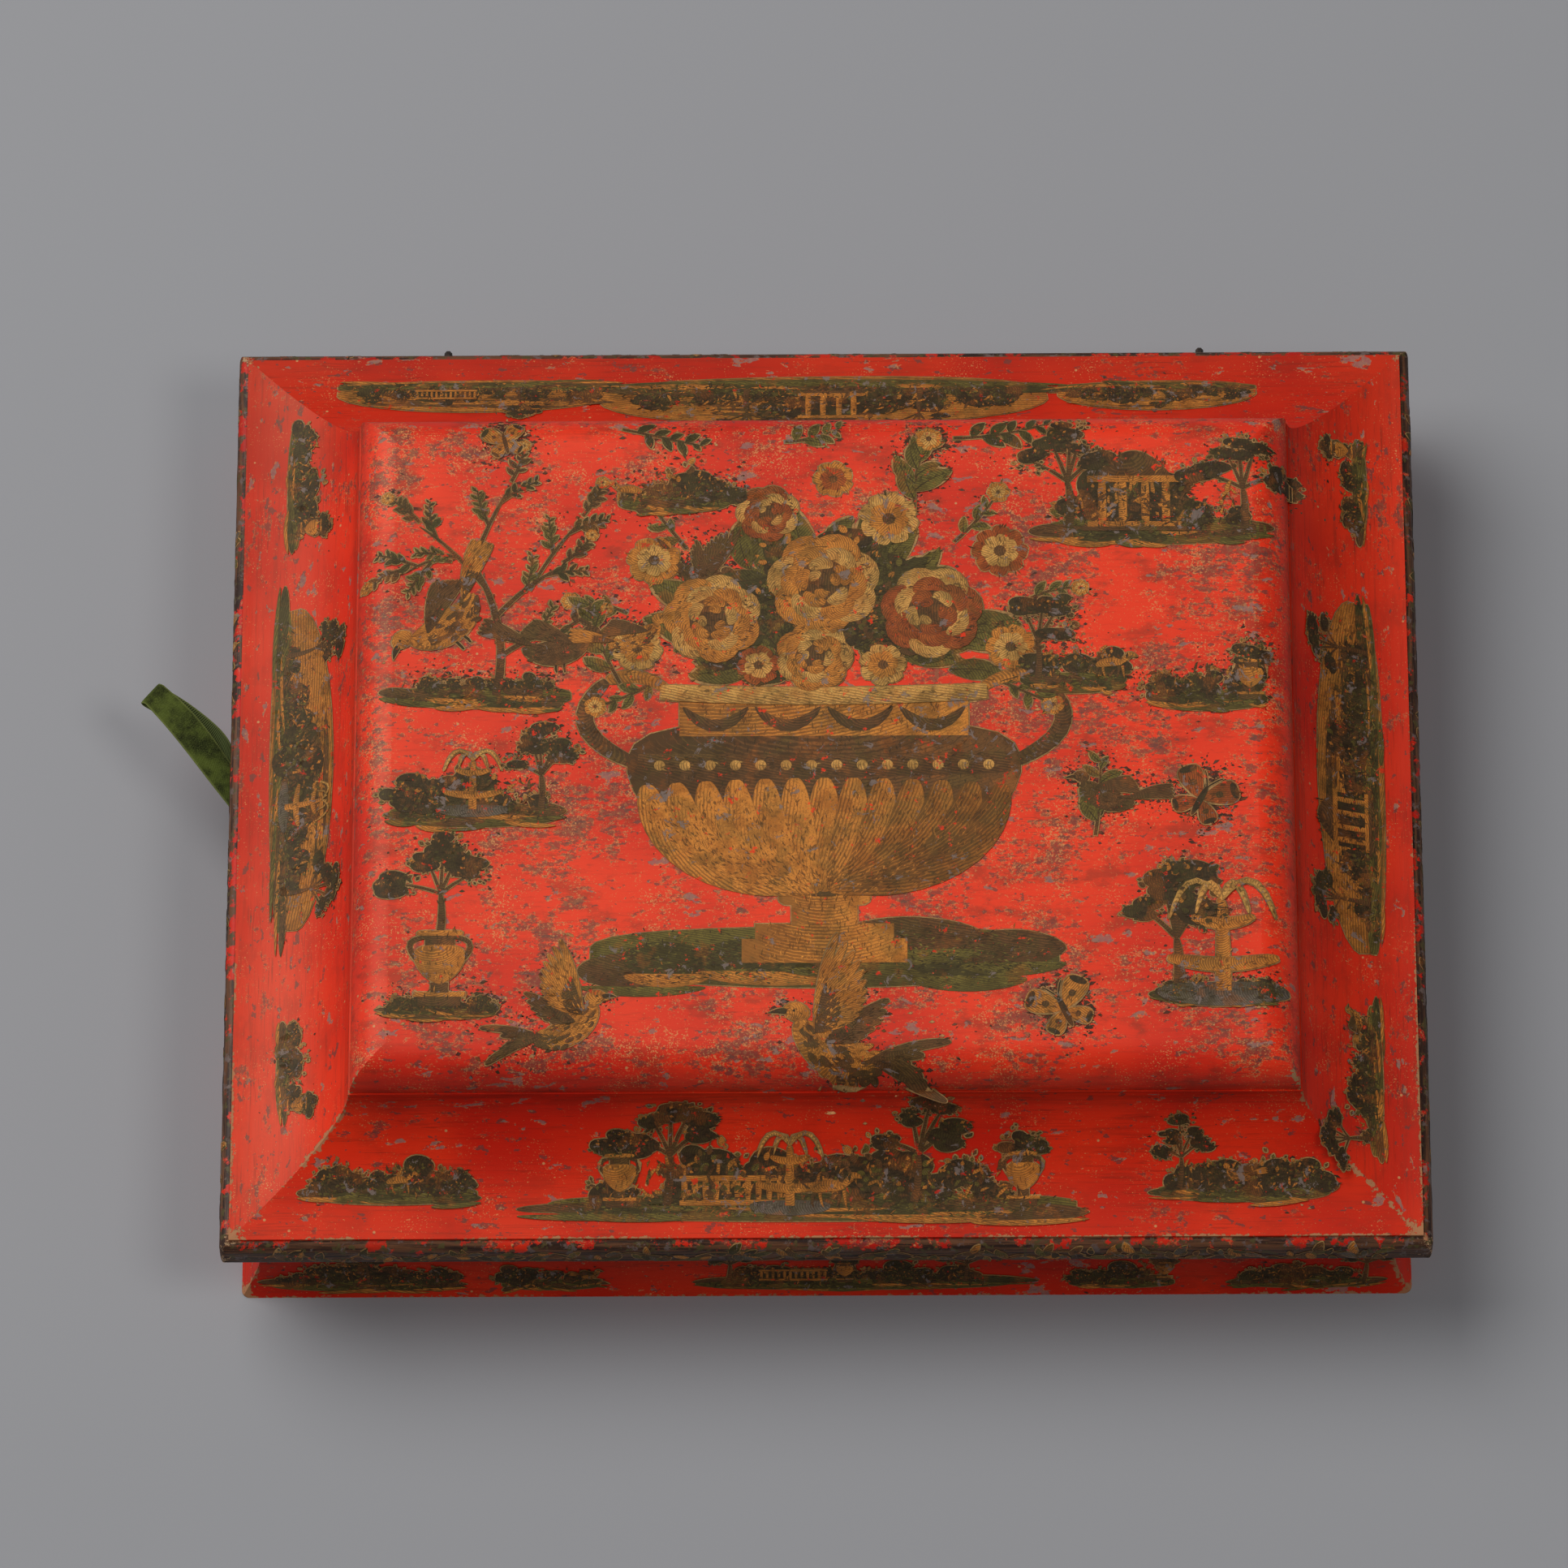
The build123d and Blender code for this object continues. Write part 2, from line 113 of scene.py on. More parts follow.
def layOnSide(band, side, u, v, lift):
    # u runs along the side and v up the profile; the point leaves the profile by lift
    length, profile, normal = bands[band]
    at = [np.interp(v, length, column) for column in (*profile.T, *normal.T)]
    inset, height = at[0] + at[2] * lift, at[1] + at[3] * lift
    out = lid["halfDepth"] if side in ("front", "back") else lid["halfWidth"]
    c, s = math.cos(math.radians(sideTurn[side])), math.sin(math.radians(sideTurn[side]))
    y = inset - out
    return np.stack([u * c - y * s, u * s + y * c, height], -1)


def layOnTop(u, v, lift):
    # the raised panel is flat, with a quarter round at its edge
    inset = np.minimum(lid["halfWidth"] - abs(u), lid["halfDepth"] - abs(v))
    edge = lid["coveWidth"] + lid["ledge"]
    base = lid["coveTop"] + lid["square"]
    share = np.clip((edge + lid["ovolo"] - inset) / lid["ovolo"], 0, 1)
    return np.stack([u, v, base + (lid["top"] - base) * np.sqrt(1 - share**2) + lift], -1)


# Colours of the hand-coloured prints
def color(r, g, b):
    # sRGB 0-255 to linear
    share = np.array([r, g, b]) / 255
    linear = np.where(share <= 0.04045, share / 12.92, ((share + 0.055) / 1.055) ** 2.4)
    return (*[float(part) for part in linear], 1.0)


inks = {
    "ochre": (206, 128, 50),
    "straw": (214, 156, 80),
    "umber": (108, 70, 38),
    "sepia": (64, 48, 29),
    "olive": (112, 98, 42),
    "moss": (76, 68, 32),
    "rust": (164, 76, 32),
    "slate": (104, 92, 80),
}
tints = {name: np.array(color(*ink)[:3]) for name, ink in inks.items()}


def either(chance, share, one, other):
    # the first tint where the chance is under the share, else the other
    rest = other if isinstance(other, np.ndarray) else tints[other]
    return np.where((chance < share)[:, None], tints[one], rest)


# Strokes: a stroke is one row of numbers, a Bezier spine with a half width that swells along it
col = SimpleNamespace(start=slice(0, 2), bend=slice(2, 4), end=slice(4, 6), half=6, swell=slice(7, 9),
                      tint=slice(9, 12), tone=12, shade=slice(13, 15), hatch=slice(15, 18), pitch=18,
                      layer=19, backed=20)


def pen(swell, tone, shade=(0.0, -0.2), hatch=(1.0, 0.0, 0.4), pitch=0.8):
    # swell: how full the stroke is towards its start and end, 0 square and 1 pointed; tone: how little of it
    # is inked; shade: how the tone drifts along and across; hatch: how the phase of the lines grows along,
    # across and with the bow of the stroke; pitch: mm between lines
    return SimpleNamespace(swell=swell, tone=tone, shade=shade, hatch=hatch, pitch=pitch)


pens = {
    "dash": pen((0.5, 0.7), 0.8),
    "speck": pen((0.5, 0.5), 0.95),
    "sketch": pen((0.5, 0.5), 0.6, (0.1, -0.32), (0.9, 0.25, 0.4), 0.7),
    "petal": pen((0.9, 0.32), 0.66, (0.3, -0.12), (0.25, 1.0, 0), 0.75),
    "eye": pen((0.5, 0.5), 0.5),
    "roseHeart": pen((0.5, 0.5), 0.4),
    "rosePetal": pen((0.45, 0.45), 0.7, (0, 0.3), (0.9, 0.5, 0.3), 0.7),
    "blade": pen((0.8, 1.0), 0.5, (0.2, -0.3), (0.8, 0.6, 0), 0.8),
    "vein": pen((0.1, 0.6), 0.1),
    "stem": pen((0.05, 0.4), 0.3),
    "cushion": pen((0.45, 0.55), 0.45),
    "dab": pen((0.6, 0.8), 0.5, (0, -0.2), (1, 0.3, 0), 0.6),
    "trunk": pen((0.0, 0.25), 0.3),
    "branch": pen((0.1, 0.5), 0.3),
    "bough": pen((0.05, 0.5), 0.3),
    "twig": pen((0.5, 0.8), 0.5),
    "earth": pen((0.3, 0.3), 0.34, (0, 0.3), (0.15, 1, 0), 0.75),
    "mound": pen((0.5, 0.6), 0.4, (0, 0.2), (0.2, 1, 0.2), 0.7),
    "bank": pen((0.5, 0.5), 0.5, (0, 0.3), (0.2, 1, 0.2), 0.7),
    "grass": pen((0.3, 0.8), 0.35),
    "plume": pen((0.4, 0.5), 0.5, (0.4, -0.3), (1, 0.4, 0), 0.5),
    "feather": pen((0.5, 0.4), 0.6, (-0.35, -0.25), (0.25, 1, 0), 0.6),
    "quill": pen((0.5, 0.4), 0.4),
    "wing": pen((0.9, 0.3), 0.6, (-0.5, 0), (0.3, 1, 0), 0.7),
    "wingTip": pen((0.5, 0.4), 0.3),
    "wingSpot": pen((0.5, 0.5), 0.3),
    "baluster": pen((0.35, 0.2), 0.5, (0, -0.35), (1, 0, 0.3), 0.6),
    "rail": pen((0.02, 0.02), 0.5, (0, 0.2), (0.1, 1, 0), 0.6),
    "sky": pen((0.42, 0.42), 0.5, (0.1, 0.2), (0.1, 1, 0), 0.9),
    "cloud": pen((0.5, 0.5), 0.6, (0, 0.2), (0.1, 1, 0), 0.7),
    "vaseFoot": pen((0.0, 0.0), 0.5, (0, -0.5), (1, 0, 0.25), 1.1),
    "vaseBody": pen((0.62, 0.16), 0.5, (0.1, -0.5), (1, 0, 0.25), 1.2),
    "vaseLobe": pen((0.5, 0.35), 0.5, (0.1, -0.34), (0.25, 1.0, 0.0), 1.1),
    "vaseBand": pen((0.04, 0.04), 0.5, (0, 0.3), (0.2, 1, 0), 0.9),
    "vaseBoss": pen((0.5, 0.5), 0.62, (0, 0.3), (1, 0, 0.3), 0.9),
    "vaseNeck": pen((0.0, 0.0), 0.55, (0, -0.4), (0.9, 0.2, 0.15), 1.1),
    "vaseSwag": pen((0.6, 0.6), 0.35, (0, 0.3), (0.4, 1, 0), 0.9),
    "vaseLip": pen((0.05, 0.05), 0.6, (0, 0.3), (0.2, 1, 0), 0.9),
    "handle": pen((0.2, 0.2), 0.4, (0, 0.3), (0.9, 0.2, 0.3), 1.0),
    "handleCurl": pen((0.2, 0.5), 0.5, (0, 0.3), (0.9, 0.2, 0.3), 1.0),
    "scrollStem": pen((0.1, 0.1), 0.3),
    "scrollLeaf": pen((0.7, 0.8), 0.5, (0.1, -0.2), (0.6, 0.8, 0), 0.7),
}


def strokes(style, start, bend, end, half, tint, layer=1.0, backed=1.0, tone=None, swell=None):
    # one row a stroke, its numbers in the order of col; what is given once holds for every row
    use = pens[style]
    swell = use.swell if swell is None else swell
    tone = use.tone if tone is None else tone
    tint = tints[tint] if isinstance(tint, str) else tint
    wholes = (start, bend, end, half, swell, tint, tone, use.shade, use.hatch, use.pitch, layer, backed)
    widths = (2, 2, 2, 1, 2, 3, 1, 2, 3, 1, 1, 1)
    parts = [np.asarray(whole, float).reshape(-1, width) for whole, width in zip(wholes, widths)]
    count = max(len(part) for part in parts)
    return np.concatenate([np.broadcast_to(part, (count, part.shape[1])) for part in parts], 1)


def toward(origin, angle, reach):
    # the point that lies at a heading and a distance from the origin
    origin, angle = np.asarray(origin, float), np.asarray(angle, float)
    x, y = origin[..., 0] + np.cos(angle) * reach, origin[..., 1] + np.sin(angle) * reach
    return np.stack(np.broadcast_arrays(x, y), -1)


def flicks(style, root, aim, reach, half, tint, layer=1.0, backed=1.0, tone=None, curl=0.0, belly=0.5):
    # strokes thrown from their roots at a heading, bent by curl at the belly
    bend, tip = toward(root, aim + curl, reach * belly), toward(root, aim, reach)
    return strokes(style, root, bend, tip, half, tint, layer, backed, tone)


def lenses(style, centre, wide, half, tint, layer=1.0, backed=1.0, rise=0.0):
    # strokes that lie across their centre, from centre - wide to centre + wide, bowed up by rise
    centre = np.asarray(centre, float)
    bend = centre.copy()
    bend[..., 1] += rise
    return strokes(style, centre - wide, bend, centre + wide, half, tint, layer, backed)


def moved(rows, x, y, turn=0.0, size=1.0, flip=False):
    # the same strokes, scaled, turned by degrees and shifted
    rows = rows.copy()
    c, s = math.cos(math.radians(turn)) * size, math.sin(math.radians(turn)) * size
    for point in (col.start, col.bend, col.end):
        px, py = rows[:, point].T * [[-1 if flip else 1], [1]]
        rows[:, point] = np.stack([x + px * c - py * s, y + px * s + py * c], 1)
    rows[:, col.half] *= size
    return rows


def bezier(start, bend, end, s):
    # the point at share s of a quadratic curve, and the curve's unit heading there
    point = (1 - s) ** 2 * start + 2 * s * (1 - s) * bend + s**2 * end
    run = 2 * (1 - s) * (bend - start) + 2 * s * (end - bend)
    return point, run / np.maximum(np.linalg.norm(run, axis=-1, keepdims=True), 1e-9)


def strokeGrids(rows, along, across):
    # point = spine(s) + t * half(s) * left normal(s), half(s) = swell curve s^a (1 - s)^b;
    # fields: gap to the edge, hatch phase and tone at each point
    s = 0.003 + 0.994 * (1 - np.cos(np.linspace(0, math.pi, along))) / 2
    t = np.sin(np.linspace(-math.pi / 2, math.pi / 2, across))
    start, bend, end = (rows[:, None, point] for point in (col.start, col.bend, col.end))
    spine, run = bezier(start, bend, end, s[None, :, None])
    left = np.stack([-run[..., 1], run[..., 0]], -1)
    a, b = rows[:, col.swell].T[:, :, None]
    peak = np.clip(a / np.maximum(a + b, 1e-9), 1e-9, 1 - 1e-9)
    half = rows[:, col.half, None] * (s**a * (1 - s) ** b) / (peak**a * (1 - peak) ** b)
    half = half[:, :, None]
    points = spine[:, :, None] + left[:, :, None] * (half * t)[..., None]
    s = s[None, :, None]
    length = np.linalg.norm(end - start, axis=-1)[:, :, None]
    hatch = rows[:, col.hatch, None, None]
    phase = hatch[:, 0] * s * length + hatch[:, 1] * half * t + hatch[:, 2] * (half * (1 - t**2))
    phase = phase / rows[:, col.pitch, None, None]
    shade = rows[:, col.shade, None, None]
    tone = rows[:, col.tone, None, None] + shade[:, 0] * (s - 0.5) + shade[:, 1] * t
    return points, np.stack(np.broadcast_arrays(half * (1 - abs(t)), phase, tone), -1)


def gridFaces(count, along, across):
    # quads of count separate grids of along by across points
    i, j = np.meshgrid(np.arange(along - 1), np.arange(across - 1), indexing="ij")
    corner = (i * across + j).ravel()
    quad = np.stack([corner, corner + across, corner + across + 1, corner + 1], 1)
    return (quad[None] + (np.arange(count) * along * across)[:, None, None]).reshape(-1, 4)


def meshFrom(name, points, faces, **attributes):
    # a smooth mesh at the origin; an attribute has three numbers a point, or four where it is a colour
    mesh = bpy.data.meshes.new(name)
    mesh.from_pydata(np.asarray(points).reshape(-1, 3).tolist(), [], faces)
    mesh.polygons.foreach_set("use_smooth", np.ones(len(mesh.polygons), bool))
    mesh.update()
    for label, values in attributes.items():
        kind, field = ("FLOAT_COLOR", "color") if values.shape[-1] == 4 else ("FLOAT_VECTOR", "vector")
        data = mesh.attributes.new(label, kind, "POINT").data
        data.foreach_set(field, values.astype(np.float32).ravel())
    obj = bpy.data.objects.new(name, mesh)
    bpy.context.scene.collection.objects.link(obj)
    return obj


# Paper cut-outs, in millimetres
paper = {
    "margin": 0.36,  # paper left round a stroke
    "edge": (0.46, 0.25, 0.09),  # linear colour of that margin
    "edgeTone": 0.95,
    "edgeSwell": 0.7,
    "sheet": 0.006,  # one sheet over another
    "thick": 0.4,  # the whole stack at most
    "topLift": 0.06,
    "sideLift": 0.16,
    "beadLift": 0.05,
    "beadStack": 0.7,  # the border strips are pressed flatter
    "topDust": 1220,  # flaked specks round a cut-out
    "fewDust": 120,
    "urnDust": 2720,
    "sideDust": 260,
}
dustColours = np.array([color(84, 34, 30), color(98, 52, 50), color(56, 32, 24), color(206, 146, 94)])[:, :3]
dustShares = (0.38, 0.26, 0.16, 0.2)
cutOuts = []


def onStrokes(rows, pick, s, t):
    # points at share s along and t across the picked strokes, and the strokes' heading there
    chosen, s, t = rows[pick], s[:, None], t[:, None]
    spine, run = bezier(chosen[:, col.start], chosen[:, col.bend], chosen[:, col.end], s)
    left = np.stack([-run[:, 1], run[:, 0]], 1)
    fullness = (4 * s * (1 - s)) ** chosen[:, col.swell][:, :1]
    return spine + left * t * chosen[:, col.half, None] * fullness, np.arctan2(run[:, 1], run[:, 0])


def dashes(rows, rng, spread=0.45, most=700):
    # short pen strokes, darker and paler than the wash, thrown over every broad stroke
    reach, half = np.linalg.norm(rows[:, col.end] - rows[:, col.start], axis=1), rows[:, col.half]
    count = np.where(half > 0.9, np.minimum(reach * half * spread, most), 0).astype(int)
    pick = np.repeat(np.arange(len(rows)), count)
    n = len(pick)
    spot, aim = onStrokes(rows, pick, rng.uniform(0.06, 0.94, n), rng.uniform(-0.85, 0.85, n))
    aim = aim + rng.normal(0, 0.3, n)
    size = rng.uniform(0.9, 2.6, n)
    pale = rng.uniform(size=n) < 0.42
    colour = np.clip(rows[pick, col.tint] * np.where(pale, 1.5, 0.5)[:, None], 0, 0.9)
    layer = rows[pick, col.layer] + 0.45
    return flicks("dash", spot, aim, size, rng.uniform(0.14, 0.34, n), colour, layer, 0, curl=0.2)


def specks(rows, rng, count):
    # flaked dust round a cut-out: dots and scuffs along the grain, thinning away from its edge
    pick = rng.integers(0, len(rows), count)
    side = np.where(rng.uniform(size=count) < 0.5, 1.0, -1.0)
    spot = onStrokes(rows, pick, rng.uniform(0.02, 0.98, count), side)[0]
    spot = spot + rng.normal(0, 1.0, (count, 2)) * rng.gamma(1.5, 1.2, count)[:, None]
    size, turn = rng.gamma(2.0, 0.34, count) + 0.25, rng.uniform(0, math.pi, count)
    turn = np.where(size > 1.2, rng.normal(0, 0.25, count), turn)
    colour = dustColours[rng.choice(4, count, p=dustShares)]
    half = np.minimum(size * rng.uniform(0.16, 0.42, count), 0.6)
    return flicks("speck", spot, turn, size, half, colour, -0.5, 0, curl=0.3, belly=0.6)


def settled(rows):
    # each sheet rests one step above the highest sheet already laid under its outline
    outline = strokeGrids(rows, 6, 3)[0].reshape(len(rows), -1, 2)
    (lowX, lowY), (highX, highY) = outline.min(1).T, outline.max(1).T
    level = np.zeros(len(rows))
    for i in range(1, len(rows)):
        under = (lowX[:i] < highX[i]) & (highX[:i] > lowX[i]) & (lowY[:i] < highY[i]) & (highY[:i] > lowY[i])
        level[i] = level[:i].max(where=under, initial=-1) + 1
    return level * min(paper["sheet"], paper["thick"] / level.max())


def printed(name, rows, level, lay, body):
    # one mesh of all the strokes; long and broad ones get more points than specks and pen strokes
    half, reach = rows[:, col.half], np.linalg.norm(rows[:, col.end] - rows[:, col.start], axis=1)
    along = np.select([reach > 20, reach > 7, half > 0.75, reach > 2.8], [16, 10, 7, 4], 3)
    across = np.select([half > 5, half > 1.6, half > 0.75], [17, 7, 5], 3)
    points, tint, fields, faces, start = [], [], [], [], 0
    for detail in sorted(set(zip(along.tolist(), across.tolist()))):
        chosen = (along == detail[0]) & (across == detail[1])
        at, field = strokeGrids(rows[chosen], *detail)
        each = at.shape[1] * at.shape[2]
        lift = np.broadcast_to(level[chosen][:, None, None], at.shape[:-1])
        points.append(lay(at[..., 0], at[..., 1], lift).reshape(-1, 3) / 1000)
        fields.append(field.reshape(-1, 3))
        tint.append(np.insert(rows[chosen][:, col.tint], 3, 1.0, axis=1).repeat(each, axis=0))
        faces.append(gridFaces(chosen.sum(), *detail) + start)
        start += len(points[-1])
    parts = {"tint": np.concatenate(tint), "print": np.concatenate(fields)}
    obj = meshFrom(name, np.concatenate(points), np.concatenate(faces).tolist(), **parts)
    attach(obj, body)
    cutOuts.append(obj)


def cutOut(name, rows, lay, body, dust=0, seam=None):
    # the paper is every stroke a margin wider and longer, under the printed strokes themselves
    rng = np.random.default_rng(len(name) * 7 + len(rows))
    rows = np.concatenate([rows, dashes(rows, rng)])
    rows = rows[np.argsort(rows[:, col.layer], kind="stable")]
    base = rows[rows[:, col.backed] > 0.5].copy()
    run = base[:, col.end] - base[:, col.start]
    run /= np.maximum(np.linalg.norm(run, axis=1), 1e-6)[:, None]
    base[:, col.start] -= run * paper["margin"]
    base[:, col.end] += run * paper["margin"]
    base[:, col.half] += paper["margin"]
    base[:, col.swell] = np.minimum(base[:, col.swell], paper["edgeSwell"])
    base[:, col.tint] = paper["edge"]
    base[:, col.tone] = paper["edgeTone"]
    base[:, col.shade] = 0
    if dust:
        base = np.concatenate([specks(base, rng, dust), base])
    rows = np.concatenate([base, rows])
    level = settled(rows)
    print(name, len(rows), "strokes, stacked", round(float(level.max()), 3), "mm")
    if seam is None:
        printed(name, rows, level, lay, body)
        return
    # a large cut-out is parted at a height, so that neither mesh is too heavy
    upper = rows[:, 1] > seam
    printed(f"{name}Upper", rows[upper], level[upper], lay, body)
    printed(f"{name}Lower", rows[~upper], level[~upper], lay, body)


# Motifs: plants
def flower(x, y, radius, petals=8, turn=0.0, outer="ochre", inner="straw", layer=5.0):
    # two rings of petals round an eye
    made, centre = [], (x, y)
    for ring, (share, tint, number) in enumerate(((1.0, outer, petals), (0.66, inner, petals - 1))):
        angle = turn + ring * 0.4 + 2 * math.pi * np.arange(number) / number
        start, end = toward(centre, angle, 0.12 * radius), toward(centre, angle, share * radius)
        bend = toward(centre, angle + 0.12, 0.6 * share * radius)
        half = share * radius * math.sin(math.pi / number) * 0.86
        made.append(strokes("petal", start, bend, end, half, tint, layer + ring, 1.0 - ring))
    eye = radius * 0.22
    made.append(lenses("eye", centre, [eye, 0], eye, "umber", layer + 2, 0))
    return np.concatenate(made)


def rose(x, y, radius, turn=0.0, tint="ochre", layer=5.0):
    # four rings of broad overlapping petals, each ring smaller, darker at its root and turned on
    centre, fill = (x, y), radius * 0.92
    made = [lenses("roseHeart", centre, [fill, 0], fill, "umber", layer - 0.1)]
    for ring, (reach, number) in enumerate(((1.0, 7), (0.74, 6), (0.48, 5), (0.26, 3))):
        petal = np.arange(number)
        angle = turn + ring * 0.7 + 2 * math.pi * petal / number
        start, end = (toward(centre, angle + side, reach * radius * 0.8) for side in (-0.6, 0.6))
        bend = toward(centre, angle, reach * radius * 1.14)
        colour = either(petal % 3, 1, "straw", tint)
        half, tone = radius * 0.2 * (1 - 0.15 * ring), 0.7 - 0.1 * ring
        above = layer + ring * 0.8 + petal * 0.05
        backed = 1.0 if ring == 0 else 0
        made.append(strokes("rosePetal", start, bend, end, half, colour, above, backed, tone))
    return np.concatenate(made)


def leaves(base, angle, length, width=0.3, tint="olive", tone=0.5, layer=2.0):
    # pointed leaves with a vein: one broad stroke and one thin line each
    base = np.atleast_2d(base)
    bend, tip = toward(base, angle + 0.25, length * 0.55), toward(base, angle, length)
    blade = strokes("blade", base, bend, tip, length * width * 0.5, tint, layer, tone=tone)
    vein = strokes("vein", base, bend, toward(base, angle, length * 0.92), 0.16, "sepia", layer + 0.3, 0)
    return np.concatenate([blade, vein])


def sprig(x, y, turn, length, count=7, size=0.34, tint="olive", seed=1, tip=True, layer=2.0):
    # a bent stem with leaves to either side, smaller towards the tip, and a small flower there
    rng = np.random.default_rng(seed)
    share = np.linspace(0.18, 0.95, count)
    start, end = np.array([x, y], float), toward((x, y), turn, length)
    middle = toward((x, y), turn + rng.uniform(-0.3, 0.3), length * 0.55)
    spots = bezier(start, middle, end, share[:, None])[0]
    angle = turn + np.where(np.arange(count) % 2 == 0, 1.0, -1.0) * rng.uniform(0.4, 1.1, count)
    reach = length * size * (1.05 - 0.55 * share) * rng.uniform(0.75, 1.15, count)
    made = [strokes("stem", start, middle, end, 0.5, "umber", layer)]
    made.append(leaves(spots, angle, reach, 0.46, tint, rng.uniform(0.3, 0.65, count), layer + 0.4))
    if tip:
        made.append(flower(*end, length * 0.15, 6, turn, "ochre", "straw", layer + 1.5))
    return np.concatenate(made)


def clumps(rng, centre, bulk, tint="moss", layer=2.0, dabs=27, flat=0.62):
    # foliage: dark cushions with a ragged rim, then leaf dabs that are paler to the upper left
    n = len(centre)
    made = []
    for _ in range(4):
        c = centre + rng.normal(0, 0.28, (n, 2)) * bulk[:, None]
        wide = (bulk * rng.uniform(0.45, 0.9, n))[:, None] * [1, 0]
        made.append(lenses("cushion", c, wide, wide[:, 0] * flat * rng.uniform(0.7, 1.0, n), "sepia", layer))
    angle, reach = rng.uniform(0, 2 * math.pi, (n, dabs)), np.sqrt(rng.uniform(0.05, 1.2, (n, dabs)))
    off = np.stack([np.cos(angle) * reach, np.sin(angle) * reach * flat], -1) * bulk[:, None, None]
    lit = np.clip((np.sin(angle) - 0.6 * np.cos(angle)) * reach, -1, 1).ravel()
    spot = (centre[:, None] + off).reshape(-1, 2)
    aim = np.arctan2(off[..., 1] + 0.3 * bulk[:, None], off[..., 0]).ravel() + rng.normal(0, 0.6, n * dabs)
    size = np.repeat(bulk, dabs) * rng.uniform(0.12, 0.34, n * dabs)
    pick = rng.uniform(size=n * dabs)
    colour = either(pick, 0.16 + 0.34 * lit, "ochre", either(pick, 0.62, tint, "umber"))
    above = layer + 0.5 + pick * 0.3
    made.append(flicks("dab", spot, aim, size, size * 0.34, colour, above, tone=0.42 + 0.3 * lit))
    return np.concatenate(made)


def tree(x, y, height, spread=0.4, seed=1, lean=0.0, layer=2.0):
    # a bent trunk, branches, and flattened clumps at their ends
    rng = np.random.default_rng(seed)
    side, up = np.array([-0.8, 0.7, -0.35, 0.35, 0.0]), [0.6, 0.66, 0.8, 0.84, 0.94]
    centre = np.stack([lean + side * spread, up], 1)
    centre = (centre + rng.normal(0, 0.035, (5, 2))) * height + [x, y]
    bulk = rng.uniform(0.13, 0.2, 5) * height * (0.6 + spread)
    root, fork = np.array([x, y]), np.array([x + lean * height * 0.5, y + height * 0.45])
    bend = (root + fork) / 2 + [height * 0.03, 0]
    made = [strokes("trunk", root, bend, fork, height * 0.04, "umber", layer + 0.2)]
    bend = (fork + centre) / 2 + [0, height * 0.04]
    made.append(strokes("branch", fork, bend, centre, height * 0.016, "umber", layer))
    made.append(clumps(rng, centre, bulk, "moss", layer + 0.4))
    return np.concatenate(made)


def bush(x, y, size, seed=1, tint="moss", layer=2.0):
    # three clumps leaning on each other
    rng = np.random.default_rng(seed)
    centre = np.array([[-0.3, 0.2], [0.3, 0.2], [0.0, 0.42]]) * size + [x, y]
    return clumps(rng, centre, size * rng.uniform(0.26, 0.36, 3), tint, layer, 23, 0.75)


def thicket(x, y, length, height, seed=1, layer=1.4):
    # a worn, crowded background: dark cushions side by side with a few pale strokes over them
    rng = np.random.default_rng(seed)
    n = max(3, int(length / height * 2.0))
    px = x + length * (np.linspace(-0.42, 0.42, n) + rng.normal(0, 0.02, n))
    tall = height * rng.uniform(0.35, 0.95, n) * (1 - 0.5 * (2 * (px - x) / length) ** 2)
    made = [clumps(rng, np.stack([px, y + tall * 0.5], 1), tall * 0.62, "olive", layer, 25, 0.85)]
    n = int(length * 1.3)
    spot = np.stack([x + length * rng.uniform(-0.44, 0.44, n), y + height * rng.uniform(0.0, 0.6, n)], 1)
    angle, size = rng.normal(1.3, 0.8, n), height * rng.uniform(0.08, 0.24, n)
    colour = either(rng.uniform(size=n), 0.4, "ochre", "umber")
    tone = rng.uniform(0.3, 0.7, n)
    made.append(flicks("twig", spot, angle, size, size * 0.16, colour, layer + 1.2, 0, tone, curl=0.5))
    return np.concatenate(made)


def ground(x, y, length, depth, seed=1, layer=1.0):
    # earth with a ragged outline: a long lens, smaller ones thrown over it, a lit bank in front, and grass
    rng = np.random.default_rng(seed)
    half, n = length / 2, 9
    made = [lenses("earth", (x, y), [half, 0], depth * 0.42, "olive", layer, rise=-depth * 0.1)]
    px = x + half * np.linspace(-0.82, 0.82, n) + rng.normal(0, 1.5, n)
    c = np.stack([px, y + depth * rng.uniform(-0.3, 0.25, n)], 1)
    wide = np.stack([length * rng.uniform(0.06, 0.17, n), rng.normal(0, 0.5, n)], 1)
    thick = depth * rng.uniform(0.12, 0.3, n)
    colour = either(rng.uniform(size=n), 0.5, "moss", "umber")
    made.append(lenses("mound", c, wide, thick, colour, layer + 0.2, rise=0.5))
    thick = depth * rng.uniform(0.05, 0.13, n)
    colour = either(rng.uniform(size=n), 0.5, "ochre", "olive")
    low = c + [0, -depth * 0.22]
    made.append(lenses("bank", low, wide, thick, colour, layer + 0.4, 0, rise=-depth * 0.12))
    n = int(length / 1.3)
    px = rng.uniform(x - half * 0.92, x + half * 0.92, n)
    foot = np.stack([px, y + rng.uniform(-0.3, 0.35, n) * depth], 1)
    angle, blade = rng.uniform(0.7, 2.4, n), rng.uniform(0.9, 2.4, n)
    bend, tip = toward(foot, angle, blade * 0.6), toward(foot, angle - 0.2, blade)
    colour = either(rng.uniform(size=n), 0.3, "ochre", "sepia")
    made.append(strokes("grass", foot, bend, tip, 0.24, colour, layer + 0.6, 0))
    return np.concatenate(made)


